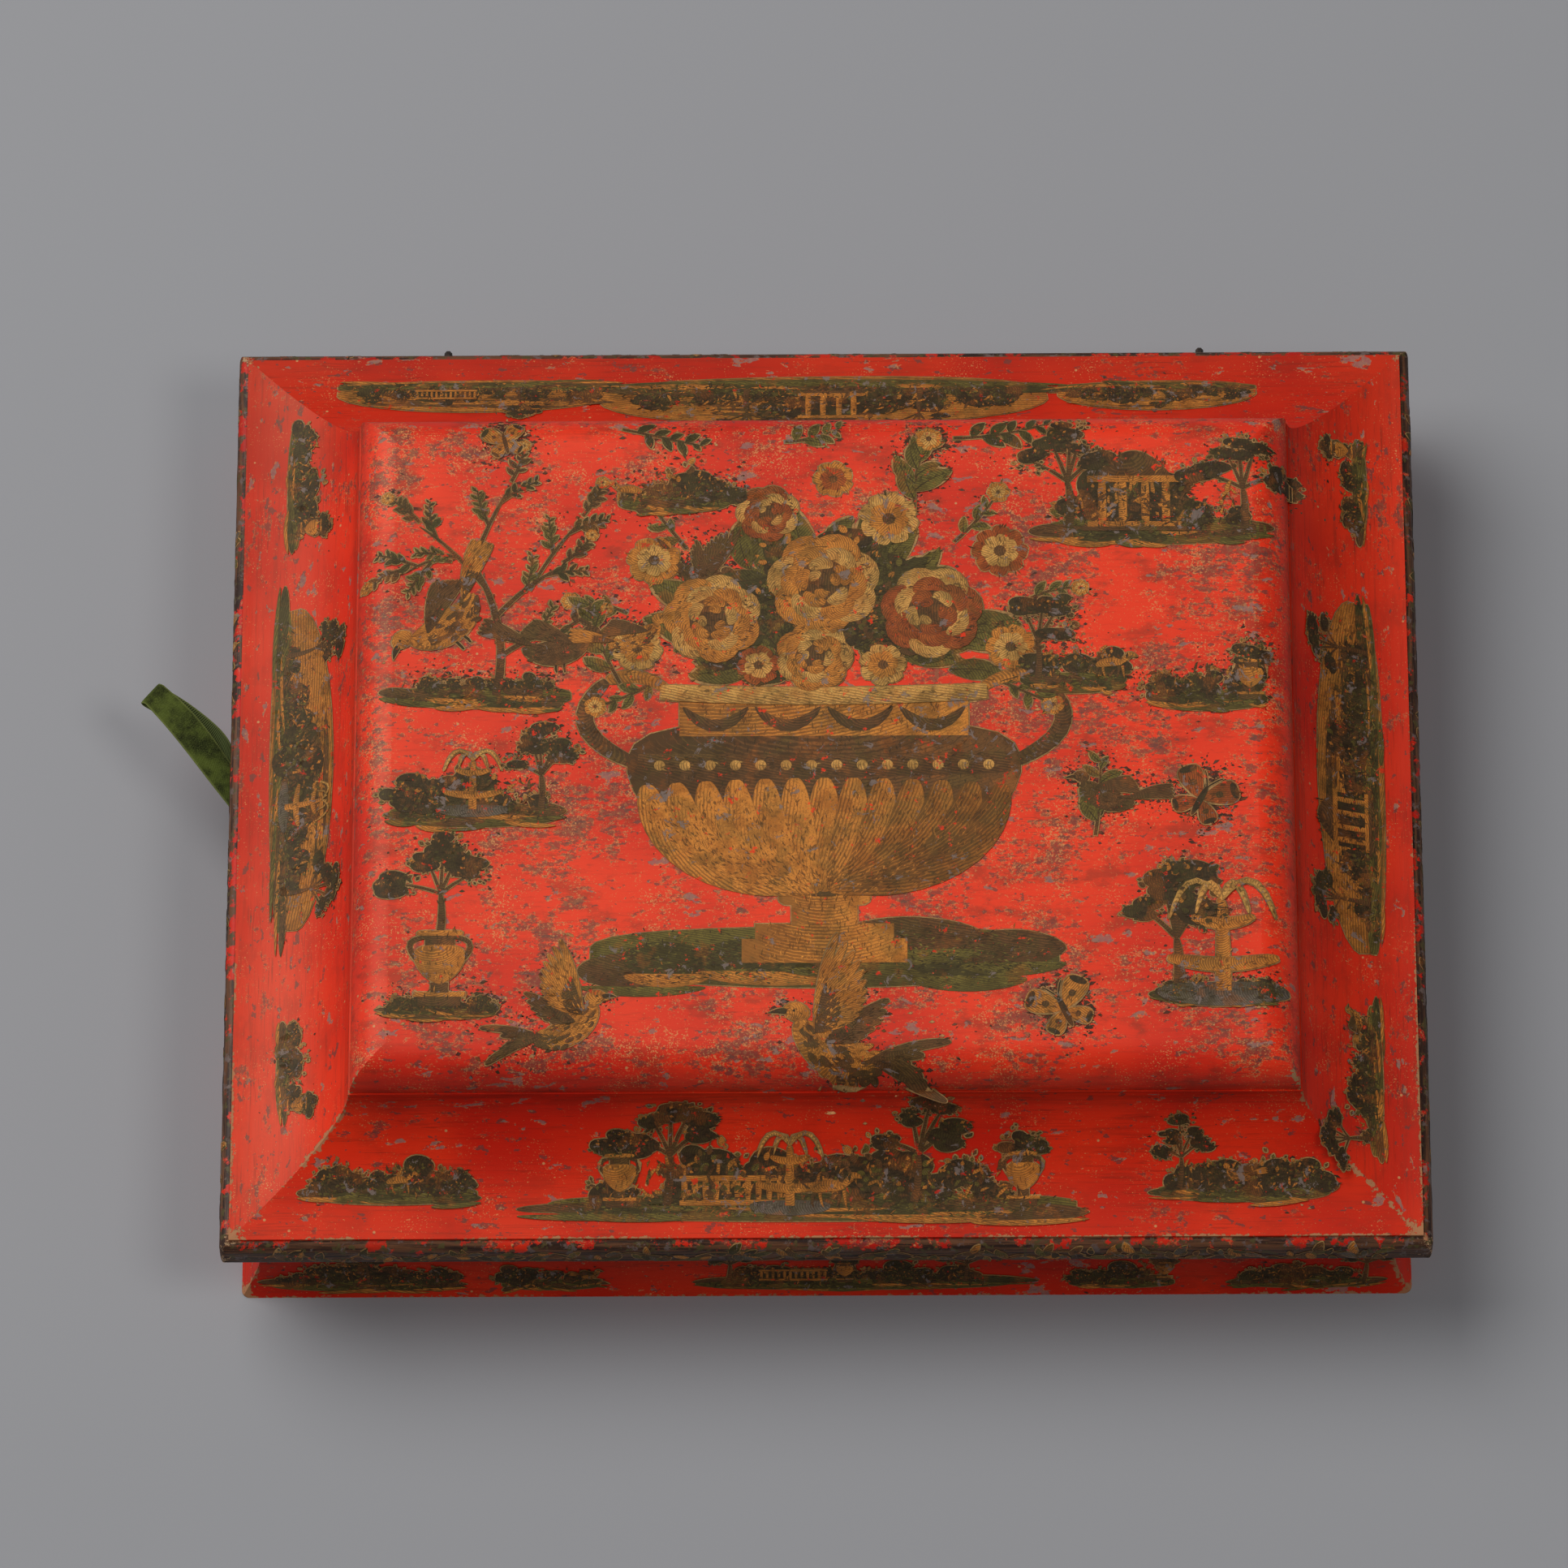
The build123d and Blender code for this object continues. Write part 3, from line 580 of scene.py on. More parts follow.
# Motifs: creatures and garden pieces. A row is a spine x0, y0, x1, y1, x2, y2, a half width, how pointed the
# stroke is at its start and end, tint, tone and layer, all on a motif one unit high
def sketch(table, x, y, size, turn=0.0, flip=False):
    shape = np.array([row[:9] for row in table], float)
    *_, tint, tone, layer = zip(*table)
    rows = strokes("sketch", shape[:, 0:2], shape[:, 2:4], shape[:, 4:6], shape[:, 6],
                   np.array([tints[name] for name in tint]), layer, tone=tone, swell=shape[:, 7:9])
    return moved(rows, x, y, turn, size, flip)


def drum(low, middle, high, half, tint, tone, layer, foot=0, top=0):
    # a turned piece, drawn upwards
    return (0, low, 0, middle, 0, high, half, foot, top, tint, tone, layer)


motifs = {
    "urn": [
        drum(0, 0.06, 0.12, 0.25, "umber", 0.5, 3),
        drum(0.12, 0.15, 0.18, 0.3, "ochre", 0.6, 3),
        drum(0.17, 0.25, 0.3, 0.1, "umber", 0.4, 3),
        drum(0.28, 0.5, 0.78, 0.3, "ochre", 0.5, 3.2, 0.7, 0.25),
        drum(0.76, 0.83, 0.9, 0.17, "umber", 0.4, 3),
        drum(0.9, 0.93, 0.97, 0.27, "ochre", 0.6, 3.3, 0.1, 0.1),
        *[(0.24 * k, 0.56, 0.5 * k, 0.86, 0.16 * k, 0.88, 0.028, 0.1, 0.1, "umber", 0.3, 2.5)
          for k in (1, -1)],
    ],
    "fountain": [
        drum(0, 0.4, 0.75, 0.06, "ochre", 0.5, 2.5, 0, 0.2),
        (-0.42, 0.28, 0, 0.16, 0.42, 0.28, 0.06, 0.3, 0.3, "ochre", 0.5, 2.8),
        (-0.24, 0.62, 0, 0.5, 0.24, 0.62, 0.05, 0.3, 0.3, "ochre", 0.5, 2.8),
        *[(0, 0.75, x, y, fall, low, 0.024, 0.3, 0.3, "straw", 0.7, 3.1) for x, y, fall, low in
          ((-0.25, 1.15, -0.4, 0.6), (0.25, 1.15, 0.4, 0.6), (0.1, 1.1, 0.2, 0.64), (-0.1, 1.1, -0.2, 0.64))],
        (-0.5, 0, 0, -0.05, 0.5, 0, 0.1, 0.4, 0.4, "slate", 0.4, 2.3),
    ],
    "pavilion": [
        (-0.46, 0.33, 0, 0.33, 0.46, 0.33, 0.24, 0, 0, "sepia", 0.35, 1.8),
        *[(x, 0.1, x, 0.3, x, 0.58, 0.045, 0.05, 0.05, "ochre", 0.6, 2.2)
          for x in (-0.34, -0.12, 0.12, 0.34)],
        drum(0, 0.03, 0.06, 0.56, "umber", 0.5, 2.3),
        drum(0.05, 0.08, 0.11, 0.5, "ochre", 0.5, 2.3),
        drum(0.58, 0.62, 0.66, 0.5, "ochre", 0.5, 2.3),
        drum(0.66, 0.8, 0.96, 0.4, "umber", 0.5, 2.3, 0, 0.5),
    ],
    "hound": [
        (-0.42, 0.42, 0, 0.62, 0.4, 0.5, 0.15, 0.4, 0.4, "ochre", 0.45, 3),
        (0.36, 0.52, 0.48, 0.66, 0.6, 0.78, 0.09, 0.3, 0.2, "ochre", 0.5, 3),
        (0.5, 0.78, 0.66, 0.84, 0.84, 0.72, 0.085, 0.4, 0.7, "ochre", 0.55, 3.2),
        (0.56, 0.86, 0.5, 0.74, 0.52, 0.64, 0.04, 0.5, 0.7, "sepia", 0.2, 3.4),
        (-0.34, 0.36, -0.46, 0.2, -0.36, 0, 0.05, 0.0, 0.3, "umber", 0.4, 2.8),
        (-0.2, 0.36, -0.22, 0.2, -0.12, 0, 0.045, 0.0, 0.3, "ochre", 0.4, 2.9),
        (0.28, 0.4, 0.3, 0.2, 0.2, 0, 0.045, 0.0, 0.3, "umber", 0.4, 2.8),
        (0.38, 0.42, 0.42, 0.2, 0.44, 0, 0.045, 0.0, 0.3, "ochre", 0.4, 2.9),
        (-0.42, 0.46, -0.6, 0.5, -0.72, 0.72, 0.03, 0.2, 0.5, "umber", 0.4, 2.9),
    ],
    "butterflyBody": [
        (0, -0.5, 0, 0, 0, 0.42, 0.085, 0.5, 0.5, "sepia", 0.25, 4),
        *[(0, 0.35, 0.08 * k, 0.6, 0.26 * k, 0.78, 0.02, 0.1, 0.1, "sepia", 0.1, 3) for k in (1, -1)],
    ],
}
birdLegs = [
    (0.05, -0.22, 0.05, -0.4, 0.1, -0.5, 0.02, 0.1, 0.1, "sepia", 0.1, 2),
    (0.17, -0.2, 0.2, -0.36, 0.24, -0.48, 0.02, 0.1, 0.1, "sepia", 0.1, 2),
]


def bird(x, y, size=14.0, turn=0.0, flip=False, flying=False, tint="ochre"):
    # body, head, beak and eye, small plumage, and fans of wing and tail feathers, drawn facing right
    table = [
        (-0.55, -0.12, 0.0, -0.33, 0.55, 0.22, 0.25, 0.75, 0.55, tint, 0.5, 3),
        (0.42, 0.28, 0.58, 0.38, 0.72, 0.3, 0.13, 0.5, 0.5, tint, 0.6, 3.3),
        (0.68, 0.32, 0.8, 0.32, 0.9, 0.26, 0.04, 0.2, 0.9, "sepia", 0.1, 3.4),
        (0.58, 0.34, 0.6, 0.36, 0.62, 0.34, 0.022, 0.5, 0.5, "sepia", 0.0, 4),
    ]
    tail = np.array([1.0, 0.66, 0.5, 0.66, 1.0])
    if flying:
        fans = [  # root, headings, lengths, tint
            ((0.3, 0.1), 1.9 + np.linspace(-0.3, 0.75, 11), np.linspace(1.35, 0.5, 11), tint),
            ((0.16, 0.0), 2.5 + np.linspace(-0.16, 0.4, 6), np.linspace(0.95, 0.4, 6), "umber"),
            ((-0.4, -0.12), 3.05 + np.array([-0.3, -0.16, 0.0, 0.16, 0.3]), tail, "umber"),
        ]
    else:
        table += birdLegs
        fans = [
            ((0.3, 0.08), 3.0 + np.linspace(-0.3, 0.12, 7), np.linspace(0.8, 0.95, 7), "umber"),
            ((-0.4, -0.05), 2.9 + np.linspace(-0.16, 0.12, 4), np.full(4, 0.95), tint),
        ]
    made = [sketch(table, 0, 0, 1)]
    rng = np.random.default_rng(int(size * 7))
    along, across = (v.ravel() for v in np.meshgrid(np.linspace(0.14, 0.92, 9), np.linspace(-0.7, 0.7, 5)))
    spot, aim = onStrokes(made[0], np.zeros(45, int), along, across + rng.normal(0, 0.08, 45))
    aim, reach = aim + math.pi + rng.normal(0, 0.2, 45), 0.13 + 0.05 * rng.uniform(size=45)
    colour = either(rng.uniform(size=45), 0.5 + 0.4 * across, tint, "umber")
    made.append(flicks("plume", spot, aim, reach, 0.04, colour, 3.2, 0))
    for root, aim, reach, shade in fans:
        above = 3.5 + np.arange(len(aim)) * 0.04
        made.append(flicks("feather", root, aim, reach, 0.06, shade, above, curl=-0.12, belly=0.6))
        made.append(flicks("quill", root, aim, reach * 0.5, 0.03, "umber", 4.0, 0))
    return moved(np.concatenate(made), x, y, turn, size, flip)


def butterfly(x, y, size=10.0, turn=0.0, tint="ochre"):
    # four wings with dark tips and spots, a body and two feelers
    wings, reach = np.array([0.75, -0.72, math.pi - 0.75, math.pi + 0.72]), np.array([1.0, 0.72, 1.0, 0.72])
    root = (0.0, 0.0)
    made = [flicks("wing", root, wings, reach, reach * 0.32, tint, 2)]
    for style, shares, half, shade in (("wingTip", (0.8, 0.88, 0.99), reach * 0.24, "sepia"),
                                       ("wingSpot", (0.4, 0.5, 0.6), 0.09, "umber")):
        spine = [toward(root, wings, reach * share) for share in shares]
        made.append(strokes(style, *spine, half, shade, 3, 0))
    made.append(sketch(motifs["butterflyBody"], 0, 0, 1))
    return moved(np.concatenate(made), x, y, turn, size)


def balustrade(x, y, length, height, layer=1.9):
    # turned balusters between a plinth and a rail
    count = max(3, int(length / (height * 0.42)))
    px = x - length / 2 + length * (np.arange(count) + 0.5) / count
    foot, top = (np.stack([px, np.full(count, level)], 1) for level in (y, y + height))
    made = [strokes("baluster", foot, (foot + top) / 2, top, height * 0.13, "ochre", layer)]
    for level in (0.0, 1.0):
        centre = (x, y + level * height)
        made.append(lenses("rail", centre, [length / 2, 0], height * 0.12, "ochre", layer + 0.3))
    return np.concatenate(made)


def eveningSky(rng, x, y, length, height):
    # a dull gold lens behind an island, with thin streaks of cloud
    n, half = 14, length * 0.5
    px, wide = x + length * rng.uniform(-0.3, 0.3, n), length * rng.uniform(0.08, 0.2, n)
    py = y + height * (0.3 + rng.uniform(-0.22, 0.36, n) * (1 - 1.6 * abs(px - x) / length))
    spine = (x - half, y + height * 0.12), (x, y + height * 0.42), (x + half, y + height * 0.16)
    made = [strokes("sky", *spine, height * 0.46, tints["ochre"] * 0.78, 0.8)]
    thick = height * rng.uniform(0.02, 0.07, n)
    colour = either(rng.uniform(size=n), 0.5, "ochre", "umber")
    wide = np.stack([wide, np.zeros(n)], 1)
    made.append(lenses("cloud", np.stack([px, py], 1), wide, thick, colour, 0.95, 0, rise=1))
    return np.concatenate(made)


gardenSizes = {"urn": 0.5, "fountain": 0.72, "pavilion": 0.8, "hound": 0.36}  # share of the island's height


def gardenIsland(x, y, length, height, seed=1, parts=("tree", "urn", "bush"), sky=False):
    # a strip of ground under a thicket, with garden pieces spread along it
    rng = np.random.default_rng(seed)
    made = [ground(x, y, length, height * 0.3, seed)]
    made.append(thicket(x, y + height * 0.04, length * 0.86, height * 0.55, seed + 200))
    if sky:
        made.append(eveningSky(rng, x, y, length, height))
    spots = x + length * (np.linspace(-0.38, 0.38, len(parts)) + rng.uniform(-0.03, 0.03, len(parts)))
    for i, (part, px) in enumerate(zip(parts, spots)):
        foot = y + height * rng.uniform(-0.02, 0.06)
        if part == "tree":
            tall, spread = height * rng.uniform(0.86, 1.0), rng.uniform(0.34, 0.5)
            made.append(tree(px, foot, tall, spread, seed * 31 + i, rng.uniform(-0.1, 0.1)))
        elif part == "bush":
            made.append(bush(px, foot, height * rng.uniform(0.45, 0.65), seed * 13 + i, "olive"))
        elif part == "rail":
            made.append(balustrade(px, foot + 0.5, length * 0.22, height * 0.22))
        elif part == "bird":
            made.append(bird(px, foot + height * 0.24, height * 0.3, rng.uniform(-8, 8), rng.uniform() < 0.5))
        else:
            size = height * gardenSizes[part]
            made.append(sketch(motifs[part], px, foot, size, 0, rng.uniform() < 0.5))
            if part == "urn":
                made.append(bush(px, foot + size * 0.9, height * 0.4, seed * 17 + i, "olive", 3.0))
    return np.concatenate(made)


def lobedVase():
    # foot, lobed body, beaded shoulder, swagged neck, lip and two handles of the large print, in mm
    made = []
    footSteps = ((-76, -68, 25, 0.0), (-68, -63, 21, 0.0), (-63, -53, 10, 0.0), (-57, -52, 14, 0.1))
    for low, high, half, square in footSteps:
        spine = (0, low), (0, (low + high) / 2), (0, high)
        made.append(strokes("vaseFoot", *spine, half, "ochre", 3, swell=(square, square)))
    made.append(strokes("vaseBody", (0, -54), (0, -30), (0, 4), 60, "umber", 3.2))
    lobe = np.linspace(-1, 1, 13)
    foot, belly = np.stack([lobe * 10, lobe * 0 - 52.5], 1), np.stack([lobe * 50, lobe * 0 - 46.0], 1)
    head = np.stack([lobe * 54, -14.0 - 2.2 * lobe**2], 1)
    colour = np.outer(1 - 0.55 * np.clip(lobe, 0, 1), tints["ochre"])  # darker to the right, as the tone is
    tone = 0.74 - 0.36 * np.maximum(lobe, -0.2)
    made.append(strokes("vaseLobe", foot, belly, head, 5.4, colour, 4 + abs(lobe) * 0.1, 0, tone))
    made.append(lenses("vaseBand", (0, -9), [57, 0], 3.8, "umber", 4.4, 0, rise=-2))
    bosses = np.stack([np.linspace(-50, 50, 14), np.full(14, -9.8)], 1)
    made.append(lenses("vaseBoss", bosses, [1.7, 0], 1.8, "straw", 5, 0))
    made.append(strokes("vaseNeck", (0, 0), (0, 6), (0, 13), 44, "ochre", 4.2))
    swags = np.stack([np.linspace(-33, 33, 4), np.full(4, 10.0)], 1)
    made.append(lenses("vaseSwag", swags, [10, 0], 2.1, "umber", 5, 0, rise=-13))
    made.append(lenses("vaseLip", (0, 15), [50, 0], 3.0, "straw", 5, rise=-3))
    for k in (1, -1):
        made.append(strokes("handle", (k * 55, -10), (k * 84, 2), (k * 66, 19), 2.6, "umber", 2.6))
        made.append(strokes("handleCurl", (k * 66, 19), (k * 54, 24), (k * 44, 12), 2.2, "ochre", 2.7))
    return np.concatenate(made)


bouquet = {
    "roses": [  # x, y, radius, turn, tint
        (0, 52, 16, 0.3, "ochre"), (-34, 40, 14, 1.3, "ochre"), (33, 42, 14.5, 2.0, "rust"),
        (-3, 27, 11, 0.9, "ochre"), (-17, 76, 9, 0.4, "rust"),
    ],
    "flowers": [  # x, y, radius, petals, outer and inner tint
        (20, 74, 9, 8, "straw", "ochre"), (-52, 60, 8, 7, "ochre", "straw"),
        (54, 63, 8.5, 8, "rust", "straw"),
        (-57, 30, 7.5, 7, "straw", "ochre"), (57, 30, 7.5, 7, "ochre", "straw"),
        (-20, 24, 6.5, 6, "rust", "straw"),
        (18, 24, 7, 7, "straw", "ochre"), (3, 88, 6, 7, "ochre", "rust"),
    ],
    "sprigs": [  # x, y, turn, length, seed
        (-42, 64, 2.2, 22, 1), (40, 66, 0.9, 22, 2), (-60, 42, 2.9, 18, 3),
        (62, 46, 0.25, 17, 4), (-50, 20, 3.6, 22, 5), (50, 20, -0.45, 22, 6),
    ],
}


def greatUrn():
    # the large print: a lobed urn on a dark oval of earth, full of flowers
    rng = np.random.default_rng(12)
    made = [ground(0, -73, 142, 24, 3), lobedVase()]
    n = 54
    angle = np.linspace(-0.1, math.pi + 0.1, n) + rng.normal(0, 0.05, n)
    base = toward((0, 26), angle, rng.uniform(10, 40, n))
    base[:, 1] = np.maximum(base[:, 1], 18)
    aim, length = angle + rng.normal(0, 0.35, n), rng.uniform(13, 25, n)
    made.append(leaves(base, aim, length, 0.42, "olive", rng.uniform(0.3, 0.6, n), 2.0))
    base = base * [0.75, 0.85] + [0, 6]
    aim, length = angle + rng.normal(0, 0.6, n), rng.uniform(10, 18, n)
    made.append(leaves(base, aim, length, 0.46, "moss", rng.uniform(0.25, 0.5, n), 3.0))
    dark = toward((0, 30), rng.uniform(0, math.pi, 16), rng.uniform(5, 34, 16))
    made.append(clumps(rng, dark, rng.uniform(7, 12, 16), "olive", 2.6, 27, 0.8))
    for x, y, radius, turn, tint in bouquet["roses"]:
        made.append(rose(x, y, radius, turn, tint, 6 + abs(turn) * 0.1))
    for x, y, radius, petals, outer, inner in bouquet["flowers"]:
        made.append(flower(x, y, radius, petals, x * 0.1, outer, inner, 6.2))
    for x, y, turn, length, seed in bouquet["sprigs"]:
        made.append(sprig(x, y, turn, length, 7, 0.32, "olive", seed, True, 2.2))
    return np.concatenate(made)


birdTreeLook = {
    "height": 76,
    "boughs": [  # root x, y, tip x, y, half width
        (3, 26, 24, 44, 0.7), (1, 36, -20, 58, 0.6), (-4, 44, 8, 72, 0.6),
        (6, 14, 26, 22, 0.7), (14, 36, 30, 60, 0.5), (-10, 46, -24, 42, 0.5),
    ],
    "sprigs": [(0.45, 0.7, "olive"), (0.75, -0.6, "moss"), (1.0, 0.1, "umber")],  # place, turn, tint
}


def birdTree(x, y, height, seed):
    # a tall flowering tree with two birds, on its own strip of ground
    made = [ground(0, 0, 54, 9, seed)]
    made.append(strokes("trunk", (4, 0), (9, 24), (-4, 46), 1.3, "umber", 2, swell=(0.0, 0.3)))
    for x1, y1, x2, y2, half in birdTreeLook["boughs"]:
        middle = ((x1 + x2) / 2, (y1 + y2) / 2 + 4)
        made.append(strokes("bough", (x1, y1), middle, (x2, y2), half, "umber", 2))
        aim = math.atan2(y2 - y1, x2 - x1)
        for k, (share, turn, tint) in enumerate(birdTreeLook["sprigs"]):
            root = (x1 + (x2 - x1) * share, y1 + (y2 - y1) * share + 1.5)
            made.append(sprig(*root, aim + turn, 13, 9, 0.34, tint, int(x2 * 3 + 90 + k), k == 2, 2.4))
    made += [bird(-12, 26, 22, 58, True), bird(22, 17, 18, -8, tint="umber"), thicket(0, 2, 46, 8, seed + 5)]
    return moved(np.concatenate(made), x, y, 0, height / birdTreeLook["height"])


# What is glued where: a print is a list of motifs, each with its function's own values
topPrints = {
    "GreatUrn": [(greatUrn,)],
    "BirdTree1": [(birdTree, -104, 14, 76, 61)],
    "Island1": [(gardenIsland, 102, 70, 68, 36, 8, ("tree", "pavilion", "bush", "tree"))],
    "Island2": [(gardenIsland, -106, -26, 52, 30, 9, ("bush", "fountain", "tree"))],
    "Island3": [(gardenIsland, 76, 18, 30, 28, 14, ("tree", "hound"))],
    "Island4": [(gardenIsland, 117, 12, 34, 28, 11, ("bush", "urn"))],
    "Island5": [(gardenIsland, -46, 80, 34, 24, 12, ("hound", "bush"))],
    "Urn1": [
        (gardenIsland, -116, -92, 34, 16, 15, ("bush", "bush")),
        (sketch, motifs["urn"], -116, -90, 26),
        (tree, -116, -66, 30, 0.5, 5),
    ],
    "Urn2": [
        (gardenIsland, 119, -88, 36, 18, 16, ("bush", "bush")),
        (sketch, motifs["fountain"], 120, -86, 40),
        (tree, 106, -88, 44, 0.34, 6),
    ],
    "BirdOnSprig1": [(sprig, 82, -34, 1.5, 26, 9, 0.4, "olive", 22, False),
                     (bird, 86, -20, 15, -6, True, False, "umber")],
    "BirdOnSprig2": [(sprig, -62, 18, 1.9, 30, 9, 0.4, "olive", 21, False), (bird, -58, 34, 15, 8)],
    "BirdFlying1": [(bird, -78, -96, 19, 14, False, True)],
    "BirdFlying2": [(bird, 4, -103, 25, -10, True, True)],
    "BirdFlying3": [(bird, -38, 56, 13, -30, False, True, "umber")],
    "Butterfly1": [(butterfly, 72, -92, 12, 24)],
    "Butterfly2": [(butterfly, 114, -22, 12, -28, "rust")],
    "Butterfly3": [(butterfly, -98, 101, 8, 14)],
    "Sprig1": [(sprig, 28, 76, 1.4, 26, 9, 0.5, "olive", 31)],
    "Sprig2": [(sprig, 40, 102, 0.2, 30, 9, 0.3, "moss", 32, False)],
    "Sprig3": [(sprig, -62, 106, -0.25, 26, 9, 0.3, "moss", 33, False)],
    "Sprig4": [(sprig, -12, 101, 0.3, 18, 7, 0.4, "olive", 34, False)],
}
urnSeam = 36.0
for name, pieces in topPrints.items():
    rows = np.concatenate([draw(*values) for draw, *values in pieces])
    few = name in ("Sprig2", "Sprig3", "Sprig4")
    dust = paper["urnDust" if name == "GreatUrn" else "fewDust" if few else "topDust"]
    lay = lambda u, v, lift: layOnTop(u, v, lift + paper["topLift"])
    cutOut(f"paperTop{name}", rows, lay, "lid", dust, urnSeam if name == "GreatUrn" else None)
print("paper cut-outs on the panel:", len(cutOuts))

sideIslands = {  # (middle, foot, length, height, seed, garden pieces, with a sky)
    ("cove", "front"): [
        (-130, 14, 50, 22, 41, ("bush", "hound", "bush")),
        (-4, 10, 160, 34, 42, ("urn", "tree", "rail", "fountain", "hound", "tree", "bush", "urn")),
        (126, 14, 52, 22, 43, ("tree", "bird", "bush")),
    ],
    ("cove", "back"): [
        (-104, 12, 62, 14, 44, ("bush", "urn", "bush"), True),
        (0, 12, 140, 26, 45, ("bush", "tree", "pavilion", "tree", "bush"), True),
        (108, 11, 88, 15, 56, ("bush", "tree", "rail", "bush"), True),
    ],
    ("cove", "left"): [
        (-104, 16, 44, 18, 46, ("bush", "urn")),
        (-6, 14, 110, 24, 47, ("tree", "bush", "fountain", "tree"), True),
        (96, 16, 30, 16, 48, ("bush", "urn")),
    ],
    ("cove", "right"): [
        (-100, 14, 50, 20, 49, ("tree", "bird")),
        (2, 13, 120, 25, 50, ("tree", "pavilion", "bush", "tree"), True),
        (102, 14, 34, 18, 51, ("bush", "urn")),
    ],
    ("wall", "front"): [
        (-140, 5, 58, 17, 52, ("bush", "tree", "bush")),
        (-84, 5, 30, 16, 53, ("bush", "bird")),
        (8, 5, 96, 18, 54, ("tree", "rail", "urn", "bush", "tree")),
        (90, 5, 32, 16, 58, ("bush", "urn")),
        (146, 5, 44, 17, 55, ("bush", "tree")),
    ],
    ("wall", "left"): [
        (-92, 5, 60, 17, 59, ("bush", "tree", "bush")),
        (14, 5, 90, 17, 60, ("tree", "urn", "bush", "tree")),
        (108, 5, 40, 16, 57, ("bush", "rail")),
    ],
    ("wall", "right"): [
        (-96, 5, 50, 17, 61, ("tree", "bush")),
        (0, 5, 92, 17, 62, ("bush", "tree", "rail", "bush")),
        (100, 5, 44, 17, 63, ("urn", "bush")),
    ],
}
for (band, side), drawings in sideIslands.items():
    rows = np.concatenate([gardenIsland(*row) for row in drawings])
    lay = lambda u, v, lift: layOnSide(band, side, u, v, lift + paper["sideLift"])
    carrier = "lid" if band == "cove" else "box"
    cutOut(f"paper{band.title()}{side.title()}", rows, lay, carrier, paper["sideDust"])
print("paper cut-outs in all:", len(cutOuts))


# The ribbon: two strands nipped under the lid, a fold outside, and a tail to each tack inside, in mm
ribbon = {
    "width": 10.0,
    "pile": 0.6,  # thickness in the open
    "nipped": 0.22,  # thickness between lid and box
    "slant": 53.0,  # degrees off square to the wall
    "exit": 7.0,  # middle of the ribbon at the rim
    "stripX": -183.0,
    "boxFace": -162.0,
    "lidFace": -165.95,
    "boxNip": 34.12,
    "lidNip": 34.48,
    "lidTail": 0.1,  # the lid's tail starts this much over its nip
    "tackY": 15.0,
    "tailEnd": 4.5,  # a tail ends this far short of its tack's pin
    "tailTurn": 0.72,  # share of a tail after which it turns into the nip
    "tailRungs": 22,
    "nipRungs": 16,
    "loopRungs": 40,
    # both edges of each strand at the rim, half way and at the fold
    "upper": [[(-182.3, -0.6), (-182.5, 14.8)], [(-199.0, 21.8), (-193.0, 29.8)]],
    "lower": [[(-182.6, 5.2), (-182.7, 20.8)], [(-197.0, 25.0), (-190.4, 32.6)]],
    "fold": [(-210.2, 36.2), (-204.8, 42.8)],
    "foldRadius": 1.1,
    "foldReach": 1.6,  # how far the fold stands out, in radii
    "rise": 1.5,
    "sag": 1.9,
    "gap": 0.07,  # kept from each strand to the middle height
    "sides": 24,
}
foldZ = (ribbon["boxNip"] + ribbon["lidNip"]) / 2
slantTurn = math.radians(ribbon["slant"])
slantHalf = ribbon["width"] / 2 / math.cos(slantTurn)


def ribbonMiddle(x):
    return ribbon["exit"] - (x - ribbon["stripX"]) * math.tan(slantTurn)


def ribbonTail(face, nipZ, tackNode, sign):
    # up or down a wall's inner face from the tack; edges of shape (2, rungs, 3)
    # the box's tail stays under its nip and the lid's above, so that an opened lid parts them there
    low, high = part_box(tackNode)
    pin = np.array([ribbon["tackY"], (low.z + high.z) * 500])
    nip = np.array([ribbonMiddle(face), nipZ])
    run = (pin - nip) / np.linalg.norm(pin - nip)
    across = np.array([-run[1], run[0]]) * ribbon["width"] / 2 * sign
    share = np.linspace(0, 1, ribbon["tailRungs"])[:, None]
    end = run * ribbon["tailEnd"]
    centre = pin + end + (nip - pin - end) * share
    turned = np.maximum(0.0, (share - ribbon["tailTurn"]) / (1 - ribbon["tailTurn"])) ** 2
    side = across * (1 - turned) + np.array([-slantHalf, 0]) * turned
    edges = np.stack([centre + side, centre - side])
    edges[..., 1] = (np.minimum if sign > 0 else np.maximum)(edges[..., 1], nipZ)
    return np.insert(edges, 0, face + ribbon["nipped"] / 2 + 0.02, axis=-1)


def ribbonNipped(face, z):
    # flat through the parting line, from the inner face out under the rim strip
    x = np.linspace(face - 0.1, ribbon["stripX"] + 1.2, ribbon["nipRungs"])
    return np.stack([np.stack([x, ribbonMiddle(x) + side, x * 0 + z], 1) for side in (-slantHalf, slantHalf)])


def ribbonStrand(which, sign, nip, arch, u, thick):
    # one strand of the loop: each edge a curve through three points in plan, arched in height
    clear = np.clip((u - 0.1) / 0.9, 0, 1)
    ease = clear * clear * (3 - 2 * clear)
    z = nip + (foldZ + sign * ribbon["foldRadius"] - nip) * ease
    z = z + sign * arch * np.sin(math.pi * clear) ** 1.5
    z = foldZ + sign * np.maximum(sign * (z - foldZ), thick / 2 + ribbon["gap"])
    edges = []
    for k in (0, 1):
        start, middle, end = (np.array(rung[k]) for rung in (*ribbon[which], ribbon["fold"]))
        plan = bezier(start, 2 * middle - (start + end) / 2, end, u[:, None])[0]
        edges.append(np.column_stack([plan, z]))
    return np.stack(edges)


